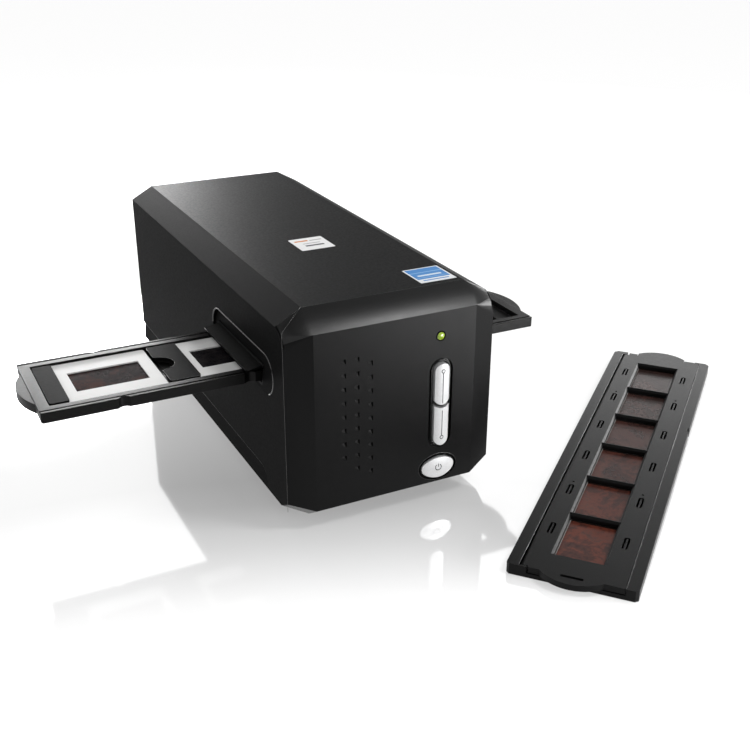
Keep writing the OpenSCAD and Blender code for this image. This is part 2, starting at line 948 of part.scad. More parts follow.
module lamp_board() {
    top_z = body_h - wall - 8.4;
    color("#e8e8e8")
        span([-33, slot_y - 20, top_z - 1.2], [33, slot_y + 20, top_z]);
    color("#fff4c0")
        for (x = [-24 : 12 : 24])
            for (y = [-12, 12])
                span([x - 1.8, slot_y + y - 1.8, top_z - 2.2], [x + 1.8, slot_y + y + 1.8, top_z - 1.2]);
}

// ---- scan drive ----

module guide_rods() {
    color("#c8cacc")
        for (p = [[front_rod_y, front_rod_z], [rear_rod_y, rear_rod_z]])
            translate([-chassis_x, p[0], p[1]])
                rotate([0, 90, 0])
                    cylinder(r = rod_r, h = 2 * chassis_x);
}

module scan_carriage() {
    tail_y = rear_rod_y + 8;
    color("#2e2f31")
        difference() {
            union() {
                span([-head_x, front_rod_y - 8, 26], [head_x, slot_y + 18, guide_z - guide_t - 3]);
                span([-18, slot_y + 18, 24], [18, tail_y, 50]);
            }
            rod_bore(front_rod_y, front_rod_z, rod_r + running);
            // the fork that rides on the rear rod
            span([-19, rear_rod_y - rod_r - 0.3, rear_rod_z - rod_r - 0.3],
                [19, rear_rod_y + rod_r + 0.3, rear_rod_z + rod_r + 0.3]);
            span([-19, rear_rod_y - rod_r - 0.3, 20], [19, rear_rod_y + rod_r + 0.3, rear_rod_z]);
            // the mirror box, open to the film above and to the lens behind
            span([-20, slot_y - 14, 30], [20, slot_y + 14, 90]);
            span([-14, slot_y, 32], [14, slot_y + 20, 48]);
            span([-15, slot_y + 16, 30], [15, tail_y - 3, 80]);
        }
}

module carriage_nut() {
    color("#d9d6c8")
        difference() {
            span([-7, screw_y - 5, screw_z - 5], [7, front_rod_y - 8, screw_z + 5]);
            translate([-8, screw_y, screw_z])
                rotate([0, 90, 0])
                    cylinder(r = screw_r + running, h = 16);
        }
}

module lead_screw() {
    color("#c8cacc")
        translate([0, screw_y, screw_z])
            rotate([0, 90, 0]) {
                translate([0, 0, -chassis_x])
                    cylinder(r = journal_r, h = motor_x + 8 + chassis_x);
                translate([0, 0, chassis_t + 0.4 - chassis_x])
                    cylinder(r = screw_r, h = motor_x - 1 + chassis_x - chassis_t - 0.4);
            }
}

module stepper_motor() {
    color("#6f7275")
        difference() {
            union() {
                translate([motor_x, screw_y, screw_z])
                    rotate([0, 90, 0])
                        cylinder(r = motor_r, h = chassis_x - chassis_t - motor_x);
                span([motor_x + 2, screw_y - 6, chassis_z + chassis_t],
                    [chassis_x - chassis_t, screw_y + 6, screw_z]);
            }
            translate([motor_x - 1, screw_y, screw_z])
                rotate([0, 90, 0])
                    cylinder(r = journal_r + running, h = 12);
        }
}

module fold_mirror() {
    color("#dfe6ea")
        translate([0, slot_y, 40])
            rotate([45, 0, 0])
                span([-20, -12, -1.5], [20, 12, 0]);
}

module lens_barrel() {
    color("#1a1a1c")
        translate([0, slot_y + 60, 40])
            rotate([-90, 0, 0])
                difference() {
                    cylinder(r = 10, h = 24);
                    translate([0, 0, -1])
                        cylinder(r = 6, h = 26);
                }
    color("#9fb6c4")
        translate([0, slot_y + 66, 40])
            rotate([-90, 0, 0])
                cylinder(r = 6, h = 4);
}

module sensor_board() {
    color("#1f5a37")
        span([-15, rear_rod_y + 3.4, 33], [15, rear_rod_y + 5, 49.6]);
    color("#3a3a3c")
        span([-12, rear_rod_y + 2, 36.5], [12, rear_rod_y + 3.4, 43.5]);
}

// ---- boards and ports ----

module main_board() {
    color("#1f5a37")
        span([-48, 0, pcb_z], [48, panel_y - 4, pcb_z + board_t]);
    color("#2b2b2e") {
        span([-12, 62, pcb_z + board_t], [8, 82, pcb_z + board_t + 1.6]);
        span([-36, 66, pcb_z + board_t], [-24, 80, pcb_z + board_t + 1.4]);
        for (x = [20, 30, 40])
            translate([x, 112, pcb_z + board_t])
                cylinder(r = 4, h = 9);
    }
}

module usb_port() {
    base_z = pcb_z + board_t;
    face_y = panel_y + panel_t;
    color("#c8cacc")
        difference() {
            span([usb_x - usb_w / 2, face_y - usb_l, base_z], [usb_x + usb_w / 2, face_y, base_z + usb_h]);
            span([usb_x - 4.3, face_y - 10, base_z + 1.6], [usb_x + 4.3, face_y + 1, base_z + 9.4]);
        }
    color("#f0f0ea")
        span([usb_x - 2.8, face_y - 10, base_z + 3.9], [usb_x + 2.8, face_y - 1.2, base_z + 7.1]);
}

module dc_jack() {
    base_z = pcb_z + board_t;
    color("#141415")
        difference() {
            span([jack_x - jack_w / 2, panel_y - jack_l, base_z],
                [jack_x + jack_w / 2, panel_y, base_z + jack_w]);
            translate([jack_x, panel_y - jack_depth, base_z + jack_w / 2])
                rotate([-90, 0, 0])
                    cylinder(r = jack_r, h = jack_depth + 1);
        }
}

// ---- slide holder ----

// Everything in the slide holder that repeats with each slide is drawn about the slide's middle
module slide_tray() {
    mid_y = slot_y;
    half = holder_w / 2;
    inner = half - rail_w;
    color("#19191b")
        difference() {
            union() {
                // the outline with its four cut corners
                translate([0, mid_y, holder_low_z])
                    linear_extrude(slide_t)
                        difference() {
                            translate([slide_x0, -half])
                                square([slide_x1 - slide_x0, holder_w]);
                            for (x = [slide_x0, slide_x1])
                                for (y = [-half, half])
                                    translate([x, y])
                                        rotate(45)
                                            square(corner_cut * sqrt(2), center = true);
                        }
                translate([slide_x1, mid_y, holder_low_z])
                    linear_extrude(slide_t - 0.4)
                        thumb_arc(tab_chord, tab_rise);
                translate([slide_x0, mid_y, holder_low_z])
                    mirror([1, 0, 0])
                        linear_extrude(slide_t - 0.4)
                            thumb_arc(tab_chord, tab_rise);
            }
            // the long well between the rails
            span([slide_x0 + end_bar, mid_y - inner, seat_z], [slide_x1 - end_bar, mid_y + inner, far]);
            for (x = slide_xs) {
                span([x - pocket_w / 2, mid_y - pocket_w / 2, 0],
                    [x + pocket_w / 2, mid_y + pocket_w / 2, far]);
                // the finger room at the slide's right
                span([x + pocket_w / 2 - 1, mid_y - pocket_w / 2, 0], [x + 28.4, mid_y + pocket_w / 2, far]);
                for (s = [-1, 1])
                    translate([x, mid_y + s * (half + notch_r - notch_depth), 0])
                        cylinder(r = notch_r, h = far);
            }
            // the groove along the top of each rail
            for (s = [-1, 1])
                span([slide_x0 - 1, mid_y + s * (half - 2.4) - 0.5, holder_top_z - 0.7],
                    [slide_x1 + 1, mid_y + s * (half - 2.4) + 0.5, far]);
        }
}

// A plate from x0 to x1 with soft corners and, where asked, a finger notch in its left edge
module clip_plate(x0, x1, notch_r)
    offset(r = clip_r, $fn = 32)
        offset(delta = -clip_r)
            difference() {
                translate([x0, -clip_half])
                    square([x1 - x0, 2 * clip_half]);
                translate([x0, 0])
                    circle(notch_r);
            }

// The end block and the bridges: each holds the left edge of the next slide under a lip, and the bridges
// have a finger notch with a ledge at its foot
module slide_clips() {
    edge_x = slide_xs[0] - mount_w / 2;
    plate_h = holder_top_z - clip_z;
    color("#202022") {
        span([slide_x0 + end_bar + 0.4, -clip_half + slot_y, seat_z],
            [edge_x - 0.3, slot_y + clip_half, clip_z]);
        translate([0, slot_y, clip_z])
            linear_extrude(plate_h)
                clip_plate(slide_x0 + end_bar + 0.4, edge_x + 0.9, 0.01);
        for (i = [1 : 3])
            translate([slide_xs[i] - mount_w / 2, slot_y, seat_z]) {
                difference() {
                    span([1.5 - clip_left, 1.5 - clip_half, 0.6],
                        [-0.5, clip_half - 1.5, clip_z - seat_z + 0.5]);
                    translate([-clip_left, 0, ledge_t])
                        cylinder(r = thumb_r + 0.5, h = far);
                    translate([-clip_left, 0, -1])
                        cylinder(r = thumb_r - ledge_w, h = far);
                }
                span([-8.4, 2 - clip_half, 0], [-1, -thumb_r - 1.5, 1]);
                span([-8.4, thumb_r + 1.5, 0], [-1, clip_half - 2, 1]);
                translate([0, 0, clip_z - seat_z])
                    linear_extrude(plate_h)
                        clip_plate(-clip_left, clip_lip, thumb_r);
            }
    }
}

module slide_mount(i) {
    color("#f5f5f3")
        translate([slide_xs[i], slot_y, seat_z])
            difference() {
                linear_extrude(mount_t)
                    rounded_rect(mount_w, mount_w, 1.5);
                span([-film_w / 2, -film_h / 2, -1], [film_w / 2, film_h / 2, mount_t + 1]);
                span([-film_w / 2 - 1, -film_h / 2 - 1, (mount_t - film_t) / 2],
                    [film_w / 2 + 1, film_h / 2 + 1, (mount_t + film_t) / 2]);
            }
}

module slide_film(i) {
    color("#3a2320")
        translate([slide_xs[i], slot_y, seat_z])
            span([-film_w / 2 - 0.9, -film_h / 2 - 0.9, (mount_t - film_t) / 2],
                [film_w / 2 + 0.9, film_h / 2 + 0.9, (mount_t + film_t) / 2]);
}

module slide_mount_1() { slide_mount(0); }
module slide_mount_2() { slide_mount(1); }
module slide_mount_3() { slide_mount(2); }
module slide_film_1() { slide_film(0); }
module slide_film_2() { slide_film(1); }
module slide_film_3() { slide_film(2); }

// ---- strip film holder, drawn with its near left corner at the origin and its length along +X ----

module on_table()
    translate([strip_x, strip_y, 0])
        rotate([0, 0, strip_turn])
            children();

// Measured from the holder's left edge towards its right edge, which is -Y in the holder's own frame
function across(v) = -v;

function frame_x(i) = strip_l / 2 + (i - (frames - 1) / 2) * frame_pitch;

module strip_base() {
    film_y = strip_film_w / 2 + 0.2;
    lid_end = strip_l - far_lug_l;
    color("#19191b")
        on_table()
            difference() {
                union() {
                    span([0, across(holder_w), 0], [strip_l, 0, strip_floor]);
                    span([0, across(strip_rail), 0], [strip_l, 0, strip_t]);
                    span([0, across(holder_w), 0], [strip_l, across(holder_w - strip_rail), strip_t]);
                    // the thumb tab at the far end
                    span([lid_end + 0.3, across(window_y + strip_tab_w / 2), 0],
                        [strip_l + strip_tab_out, across(window_y - strip_tab_w / 2), strip_t - 0.2]);
                    translate([strip_l + strip_tab_out, across(window_y), 0])
                        linear_extrude(strip_t - 0.2)
                            thumb_arc(strip_tab_w - 0.6, strip_tab_rise);
                    // the lugs that carry the hinge pins: a thin end plate near, the cover's corner far
                    span([0, across(lug_high_y), 0], [near_lug_t, across(strip_rail) + 1, strip_t]);
                    span([lid_end, across(corner_left_y), 0], [strip_l, across(strip_rail) + 1, strip_t]);
                    span([strip_l - corner_l, across(holder_w - 1), 0],
                        [strip_l, across(corner_right_y), strip_t]);
                }
                for (i = [0 : frames - 1])
                    span([frame_x(i) - frame_pitch / 2 + 2, across(window_y + 12), -1],
                        [frame_x(i) + frame_pitch / 2 - 2, across(window_y - 12), far]);
                span([film_x0 - 0.5, across(window_y + film_y), strip_floor - strip_film_t],
                    [film_x1 + 0.5, across(window_y - film_y), strip_floor + 1]);
                for (x = [near_lug_t - 0.8, strip_l - 1.2 - hinge_pin_l])
                    translate([x, across(lid_y0), lid_axis_z])
                        rotate([0, 90, 0])
                            cylinder(r = lid_pin_r, h = hinge_pin_l);
                // the cut corners and the detent notch in the right rail
                for (v = [0, holder_w])
                    for (c = [[0, near_cut], [strip_l, far_cut]])
                        translate([c[0], across(v), -1])
                            rotate([0, 0, 45])
                                cube([c[1], c[1], 40], center = true);
                translate([177.5, across(holder_w + notch_r - 1.3), -1])
                    cylinder(r = notch_r, h = 20);
            }
}

module film_strip() {
    color("#8a4a3c")
        on_table()
            span([film_x0, across(window_y + strip_film_w / 2), strip_floor - strip_film_t],
                [film_x1, across(window_y - strip_film_w / 2), strip_floor]);
}

// A U-shaped slot round a small springy tongue
module tongue_slot() {
    difference() {
        linear_extrude(20)
            rounded_rect(lid_slot_l, lid_slot_w, 1.3);
        span([-lid_slot_l, -tongue_w / 2, -1], [lid_slot_l / 2 - 1, tongue_w / 2, 21]);
    }
}

// A window with all four of its upper edges bevelled, centred
module bevelled_window() {
    l = frame_pitch - ridge_w;
    depth = strip_t - lid_z;
    intersection() {
        along_x(-l, l)
            polygon([[bevel - window_w / 2, -depth - 1], [window_w / 2 - bevel, -depth - 1],
                [window_w / 2 - bevel, -bevel], [window_w / 2 + 1, 1], [-window_w / 2 - 1, 1],
                [bevel - window_w / 2, -bevel]]);
        along_y(-l, l)
            polygon([[bevel - l / 2, -depth - 1], [l / 2 - bevel, -depth - 1], [l / 2 - bevel, -bevel],
                [l / 2 + 1, 1], [-l / 2 - 1, 1], [bevel - l / 2, -bevel]]);
    }
}

// Room in the cover for a hinge lug, whose upper corner and top stay clear up to the cover's full opening
module swing_room(x0, x1, lug_edge_y) {
    beside = lug_edge_y - lid_y0;
    above = (lid_r * (1 - cos(lid_open)) + lid_play) / sin(lid_open);
    span([x0, across(lid_y0 + max(beside + lid_play, above)), 0], [x1, 0, far]);
    translate([x0, across(lid_y0), lid_axis_z])
        rotate([0, 90, 0])
            cylinder(r = norm([beside, lid_r]) + lid_play, h = x1 - x0);
}

module strip_cover() {
    end_gap = 0.4;
    lid_end = strip_l - far_lug_l;
    color("#1c1c1e")
        on_table()
            difference() {
                union() {
                    span([end_gap, across(lid_y1), lid_z], [strip_l - 1, across(lid_y0), strip_t]);
                    translate([near_lug_t + lid_play, across(lid_y0), lid_axis_z])
                        rotate([0, 90, 0])
                            cylinder(r = lid_r, h = lid_end - near_lug_t - 2 * lid_play);
                    translate([end_gap, across(window_y), lid_z])
                        mirror([1, 0, 0])
                            linear_extrude(strip_t - lid_z)
                                thumb_arc(strip_tab_w, strip_tab_rise + 0.2);
                }
                // clear of the hinge lugs over the whole swing, the far tab and the corner of the right rail
                swing_room(-1, near_lug_t + lid_play, lug_high_y);
                swing_room(lid_end - lid_play, strip_l, corner_left_y);
                span([lid_end, across(window_y + strip_tab_w / 2 + lid_play), 0],
                    [strip_l, across(window_y - strip_tab_w / 2 - lid_play), far]);
                span([strip_l - corner_l - lid_play, across(holder_w), 0],
                    [strip_l, across(corner_right_y - lid_play), far]);
                translate([near_lug_t, across(lid_y0), lid_axis_z])
                    rotate([0, 90, 0])
                        cylinder(r = lid_pin_r + running, h = lid_end - near_lug_t);
                for (i = [0 : frames - 1])
                    translate([frame_x(i), across(window_y), strip_t])
                        bevelled_window();
                for (v = lid_slot_ys)
                    for (i = [0 : frames - 1])
                        translate([frame_x(i) + 2.2, across(v), 0])
                            tongue_slot();
                // the small round marks beside the second and the fifth frame
                for (v = lid_slot_ys)
                    for (i = [1, frames - 2])
                        translate([frame_x(i) + 11, across(v), strip_t - 0.6])
                            cylinder(r = 0.7, h = 1, $fn = 24);
                // the finger slot in the near tongue
                translate([-0.2, across(window_y + 0.4), 0])
                    linear_extrude(20)
                        pill(1.8, 11.6);
            }
}

module strip_hinge_pins() {
    color("#c8cacc")
        on_table()
            for (x = [near_lug_t - 0.8, strip_l - 1.2 - hinge_pin_l])
                translate([x, across(lid_y0), lid_axis_z])
                    rotate([0, 90, 0])
                        cylinder(r = lid_pin_r, h = hinge_pin_l);
}

// ---- nodes ----

top_cover();
base_tray();
front_bezel();
rear_panel();
left_slot_frame();
right_slot_frame();
left_door_pin();
right_door_pin();
left_dust_door();
right_dust_door();
scan_button_trim();
power_button_trim();
upper_scan_button();
lower_scan_button();
power_button();
status_lens();
button_board();
tact_switches();
rubber_feet();
base_screws();
chassis();
film_guide();
detent_springs();
lamp_housing();
lamp_diffuser();
lamp_board();
guide_rods();
lead_screw();
stepper_motor();
scan_carriage();
carriage_nut();
fold_mirror();
lens_barrel();
sensor_board();
main_board();
usb_port();
dc_jack();
slide_tray();
slide_clips();
slide_mount_1();
slide_mount_2();
slide_mount_3();
slide_film_1();
slide_film_2();
slide_film_3();
strip_base();
strip_cover();
strip_hinge_pins();
film_strip();
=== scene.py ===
import json
import math

import bmesh
import bpy
from mathutils import Matrix, Vector


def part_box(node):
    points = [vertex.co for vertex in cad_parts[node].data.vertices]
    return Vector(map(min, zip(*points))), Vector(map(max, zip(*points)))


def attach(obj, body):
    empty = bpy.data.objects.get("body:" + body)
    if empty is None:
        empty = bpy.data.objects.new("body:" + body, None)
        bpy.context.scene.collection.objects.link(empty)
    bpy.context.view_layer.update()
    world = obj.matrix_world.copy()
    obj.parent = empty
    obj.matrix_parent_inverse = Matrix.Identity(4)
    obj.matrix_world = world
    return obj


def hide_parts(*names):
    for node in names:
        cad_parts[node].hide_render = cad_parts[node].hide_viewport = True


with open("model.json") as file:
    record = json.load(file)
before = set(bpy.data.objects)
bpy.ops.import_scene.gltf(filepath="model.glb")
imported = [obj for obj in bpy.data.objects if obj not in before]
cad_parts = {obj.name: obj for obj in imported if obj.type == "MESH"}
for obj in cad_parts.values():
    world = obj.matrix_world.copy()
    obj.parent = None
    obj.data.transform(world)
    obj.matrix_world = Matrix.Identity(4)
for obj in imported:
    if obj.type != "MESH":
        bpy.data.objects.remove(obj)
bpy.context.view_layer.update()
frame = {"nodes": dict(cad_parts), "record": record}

MM = 0.001
MICRON = 0.000001
NODES = frame["nodes"]
BODY = {n: b for b, ns in frame["record"]["behaviour"]["bodies"].items() for n in ns}
scene = bpy.context.scene


def box_mm(node_name):
    """A CAD node's lowest and highest corners, in millimetres."""
    return [Vector(corner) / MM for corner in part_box(node_name)]


def middle_mm(node_name):
    low, high = box_mm(node_name)
    return (low + high) / 2


# ---------------------------------------------------------------- camera

# the camera of the photograph, from the corners of the body that it shows
CAMERA_AT = (-0.23366, -0.57198, 0.30538)
LOOKS_ALONG = Vector((0.4112, 0.8111, -0.4159)).normalized()
LEVEL_RIGHT = Vector((0.8925, -0.4511, 0.0026)).normalized()
FOCAL_PIXELS = 1069.35
PHOTO_PIXELS = 750
SENSOR_MM = 36.0

cam_data = bpy.data.cameras.new("camera")
cam_data.sensor_width = SENSOR_MM
cam_data.lens = FOCAL_PIXELS / PHOTO_PIXELS * SENSOR_MM
cam_data.clip_end = 20.0
camera = bpy.data.objects.new("camera", cam_data)
camera_up = LEVEL_RIGHT.cross(LOOKS_ALONG).normalized()
camera_right = LOOKS_ALONG.cross(camera_up).normalized()
camera_turn = Matrix((camera_right, camera_up, -LOOKS_ALONG)).transposed().to_4x4()
camera.matrix_world = Matrix.Translation(CAMERA_AT) @ camera_turn
scene.collection.objects.link(camera)
scene.camera = camera
scene.view_settings.view_transform = "Standard"

# ---------------------------------------------------------------- shader nodes


def new_node(nt, kind, **sockets):
    """A shader node with some of its sockets set; an underscore stands for a space in a socket's name."""
    n = nt.nodes.new(kind)
    for socket, value in sockets.items():
        n.inputs[socket.replace("_", " ")].default_value = value
    return n


def feed(nt, value, socket):
    """Links another node's output to a socket, or sets the socket to a plain value."""
    if isinstance(value, bpy.types.NodeSocket):
        nt.links.new(value, socket)
    else:
        socket.default_value = value


def math_node(nt, operation, *values):
    n = nt.nodes.new("ShaderNodeMath")
    n.operation = operation
    for value, socket in zip(values, n.inputs):
        feed(nt, value, socket)
    return n.outputs[0]


def mix_values(nt, share, first, second):
    n = nt.nodes.new("ShaderNodeMix")
    n.data_type = "FLOAT"
    for value, k in ((share, 0), (first, 2), (second, 3)):
        feed(nt, value, n.inputs[k])
    return n.outputs[0]


def mix_colours(nt, share, first, second):
    n = nt.nodes.new("ShaderNodeMix")
    n.data_type = "RGBA"
    for value, k in ((share, 0), (first, 6), (second, 7)):
        feed(nt, value, n.inputs[k])
    return n.outputs[2]


def noise(nt, vec, scale, detail=3.0, rough=0.55, distortion=0.0):
    n = new_node(nt, "ShaderNodeTexNoise", Scale=scale, Detail=detail, Roughness=rough, Distortion=distortion)
    nt.links.new(vec, n.inputs["Vector"])
    return n.outputs["Fac"]


def ramp(nt, fac, stops):
    """A colour ramp; the tone of a stop is (red, green, blue), or one number for a grey."""
    r = nt.nodes.new("ShaderNodeValToRGB")
    elements = r.color_ramp.elements
    while len(elements) < len(stops):
        elements.new(0.5)
    for element, (place, tone) in zip(elements, stops):
        element.position = place
        element.color = (*tone, 1) if isinstance(tone, tuple) else (tone, tone, tone, 1)
    nt.links.new(fac, r.inputs["Fac"])
    return r.outputs["Color"]


def object_coords(nt, scale=(1, 1, 1), location=(0, 0, 0)):
    mapping = new_node(nt, "ShaderNodeMapping", Scale=scale, Location=location)
    nt.links.new(nt.nodes.new("ShaderNodeTexCoord").outputs["Object"], mapping.inputs["Vector"])
    return mapping.outputs["Vector"]


def bump(nt, heights, bsdf, distance, strength=1.0):
    """heights: a list of (height output, weight), summed into one bump."""
    total = 0.0
    for height, weight in heights:
        total = math_node(nt, "MULTIPLY_ADD", height, weight, total)
    b = new_node(nt, "ShaderNodeBump", Distance=distance, Strength=strength)
    nt.links.new(total, b.inputs["Height"])
    nt.links.new(b.outputs["Normal"], bsdf.inputs["Normal"])


def band(nt, coord, low, high):
    """1 where the coordinate lies between low and high, else 0."""
    above = math_node(nt, "GREATER_THAN", coord, low)
    below = math_node(nt, "LESS_THAN", coord, high)
    return math_node(nt, "MULTIPLY", above, below)


# ---------------------------------------------------------------- materials


def new_material(name):
    m = bpy.data.materials.new(name)
    m.use_nodes = True
    return m, m.node_tree, m.node_tree.nodes["Principled BSDF"]


def plastic(name, dark, light, rough, grain, microns, specular=0.5, mottle=14.0):
    """Moulded plastic: a fine spark-eroded grain, a slow tone drift and uneven gloss."""
    m, nt, bsdf = new_material(name)
    vec = object_coords(nt)
    slow = noise(nt, vec, mottle, 2.0)
    fine = noise(nt, vec, grain, 2.0, 0.7)
    mid = noise(nt, vec, grain * 0.22, 3.0, 0.6)
    tones = [(0.3, dark), (0.7, light)]
    base = mix_colours(nt, 0.45, ramp(nt, slow, tones), ramp(nt, fine, tones))
    nt.links.new(base, bsdf.inputs["Base Color"])
    nt.links.new(ramp(nt, mid, [(0.3, rough - 0.05), (0.7, rough + 0.06)]), bsdf.inputs["Roughness"])
    bsdf.inputs["Specular IOR Level"].default_value = specular
    bump(nt, [(fine, 1.0), (mid, 0.4)], bsdf, microns * MICRON)
    return m


def metal(name, tone, rough, stretch=(1, 40, 40), grain=300.0):
    """Bare metal whose tone and gloss vary in streaks."""
    m, nt, bsdf = new_material(name)
    streak = noise(nt, object_coords(nt, stretch), grain, 3.0)
    nt.links.new(ramp(nt, streak, [(0.25, tone * 0.86), (0.75, tone * 1.06)]), bsdf.inputs["Base Color"])
    nt.links.new(ramp(nt, streak, [(0.25, rough - 0.05), (0.75, rough + 0.08)]), bsdf.inputs["Roughness"])
    bsdf.inputs["Metallic"].default_value = 1.0
    bump(nt, [(streak, 1.0)], bsdf, 10 * MICRON)
    return m


def silver_lacquer():
    """The buttons' lacquer: fine metal flake with a satin gloss."""
    m, nt, bsdf = new_material("silver_lacquer")
    vec = object_coords(nt)
    flake = noise(nt, vec, 5200, 1.0, 0.5)
    drift = noise(nt, vec, 120, 2.0)
    tones = [(0.25, (0.36, 0.36, 0.365)), (0.75, (0.56, 0.56, 0.565))]
    nt.links.new(ramp(nt, flake, tones), bsdf.inputs["Base Color"])
    nt.links.new(ramp(nt, drift, [(0.3, 0.40), (0.7, 0.50)]), bsdf.inputs["Roughness"])
    bsdf.inputs["Metallic"].default_value = 0.35
    bsdf.inputs["Specular IOR Level"].default_value = 0.35
    bump(nt, [(flake, 1.0)], bsdf, 6 * MICRON)
    return m


def lamp_lens():
    """The clear yellow-green lens of the status lamp."""
    m, nt, bsdf = new_material("lamp_lens_green")
    cell = noise(nt, object_coords(nt), 900, 2.0)
    tones = [(0.3, (0.13, 0.20, 0.008)), (0.7, (0.22, 0.31, 0.02))]
    nt.links.new(ramp(nt, cell, tones), bsdf.inputs["Base Color"])
    nt.links.new(ramp(nt, cell, [(0.3, 0.10), (0.7, 0.16)]), bsdf.inputs["Roughness"])
    bsdf.inputs["Emission Color"].default_value = (0.45, 0.62, 0.05, 1)
    bsdf.inputs["Emission Strength"].default_value = 0.05
    bsdf.inputs["Coat Weight"].default_value = 0.4
    return m


def circuit_board():
    """Green solder resist over a pattern of copper tracks."""
    m, nt, bsdf = new_material("solder_resist_green")
    track = new_node(nt, "ShaderNodeTexBrick", Scale=90, Color1=(0.012, 0.085, 0.035, 1),
                     Color2=(0.016, 0.10, 0.042, 1), Mortar=(0.03, 0.17, 0.07, 1))
    nt.links.new(object_coords(nt), track.inputs["Vector"])
    nt.links.new(track.outputs["Color"], bsdf.inputs["Base Color"])
    nt.links.new(ramp(nt, track.outputs["Fac"], [(0, 0.30), (1, 0.42)]), bsdf.inputs["Roughness"])
    return m


def film(name, tones, scale, origin):
    """Developed film: soft picture tones, fine grain and a smooth surface."""
    m, nt, bsdf = new_material(name)
    vec = object_coords(nt, location=origin)
    picture = noise(nt, vec, scale, 5.0, 0.62, 0.6)
    grain = noise(nt, vec, scale * 14, 3.0, 0.6)
    nt.links.new(ramp(nt, mix_values(nt, 0.22, picture, grain), tones), bsdf.inputs["Base Color"])
    nt.links.new(ramp(nt, grain, [(0.3, 0.12), (0.7, 0.17)]), bsdf.inputs["Roughness"])
    bsdf.inputs["Specular IOR Level"].default_value = 0.03
    bump(nt, [(picture, 1.0)], bsdf, 10 * MICRON, 0.4)
    return m


body_mat = plastic("shell_plastic", 0.0038, (0.0056, 0.0056, 0.0059), 0.50, 3200, 12, specular=0.036)
# painted light: the cover's sides get a lighter tone than its top, and little gloss
side_painted_light_mat = plastic("shell_side_painted_light_plastic", 0.0060, (0.0084, 0.0084, 0.0088), 0.50, 3200, 12, specular=0.008)
bezel_mat = plastic("bezel_plastic", 0.0024, (0.0036, 0.0036, 0.0038), 0.34, 4200, 8, specular=0.085)
brow_mat = plastic("bezel_brow_plastic", 0.0024, (0.0036, 0.0036, 0.0038), 0.33, 4200, 8, specular=0.38)
base_mat = plastic("base_plastic_black", 0.004, 0.006, 0.55, 2200, 20, specular=0.15)
holder_mat = plastic("holder_plastic_black", 0.0022, 0.0040, 0.34, 2600, 10, specular=0.10)
gloss_mat = plastic("gloss_black_plastic", 0.002, 0.004, 0.20, 1200, 2, specular=0.20)
door_mat = plastic("door_plastic", 0.002, 0.003, 0.46, 2600, 6, specular=0.025)
clip_mat = plastic("clip_plastic", 0.004, 0.006, 0.46, 2600, 2, specular=0.011)
dimple_mat = plastic("dimple_plastic", 0.0024, 0.0040, 0.42, 3000, 4, specular=0.045)
# painted shade: a near-black for the rings that stand for the shade round the lamp and the power button
painted_shade_mat = plastic("painted_shade_black", 0.0008, 0.0014, 0.60, 1800, 4, specular=0.01)
rubber_mat = plastic("foot_rubber", 0.008, 0.013, 0.70, 1600, 40, specular=0.25)
nut_mat = plastic("acetal", (0.60, 0.57, 0.48), (0.70, 0.67, 0.58), 0.42, 1500, 10)
opal_mat = plastic("opal_plastic", 0.74, 0.82, 0.40, 1200, 10)
part_mat = plastic("component_plastic", 0.015, 0.03, 0.50, 2500, 20)
mark_mat = plastic("mark_paint_grey", 0.010, 0.018, 0.5, 1800, 4, specular=0.1)
# painted highlights: the next four plastics are lighter than the shell, for thin beads that stand for
# highlights along edges
painted_highlight_lip_mat = plastic("painted_highlight_lip_plastic", 0.030, 0.045, 0.35, 1800, 4, specular=0.5)
relief_painted_highlight_mat = plastic("relief_painted_highlight_plastic", 0.012, 0.018, 0.40, 1800, 4, specular=0.2)
painted_highlight_rim_mat = plastic("painted_highlight_rim_plastic", 0.050, 0.070, 0.30, 1800, 4, specular=0.6)
rail_painted_highlight_mat = plastic("rail_painted_highlight_plastic", 0.12, 0.15, 0.30, 1800, 4, specular=0.6)
mount_mat = plastic("slide_mount_white_plastic", (0.71, 0.71, 0.70), (0.77, 0.77, 0.765), 0.42, 2400, 10,
                    specular=0.04, mottle=30)
steel_mat = metal("bright_steel", 0.62, 0.26)
port_mat = metal("nickel_shell", 0.13, 0.42, (8, 8, 8), 90)
plate_mat = metal("zinc_plate", 0.50, 0.36, (12, 12, 12), 60)
mirror_mat = metal("mirror_silver", 0.88, 0.06, (1, 1, 1), 20)
silver_mat = silver_lacquer()
lens_mat = lamp_lens()
board_mat = circuit_board()
warm_film = film("slide_film_warm", [(0.36, (0.009, 0.006, 0.007)), (0.50, (0.017, 0.009, 0.009)),
                                     (0.60, (0.050, 0.015, 0.010)), (0.72, (0.018, 0.009, 0.008))],
                 70, (0.02, 0.01, 0))
dark_film = film("slide_film_dark", [(0.35, (0.006, 0.006, 0.008)), (0.55, (0.014, 0.012, 0.013)),
                                     (0.70, (0.030, 0.026, 0.026))],
                 160, (0.3, 0.1, 0))

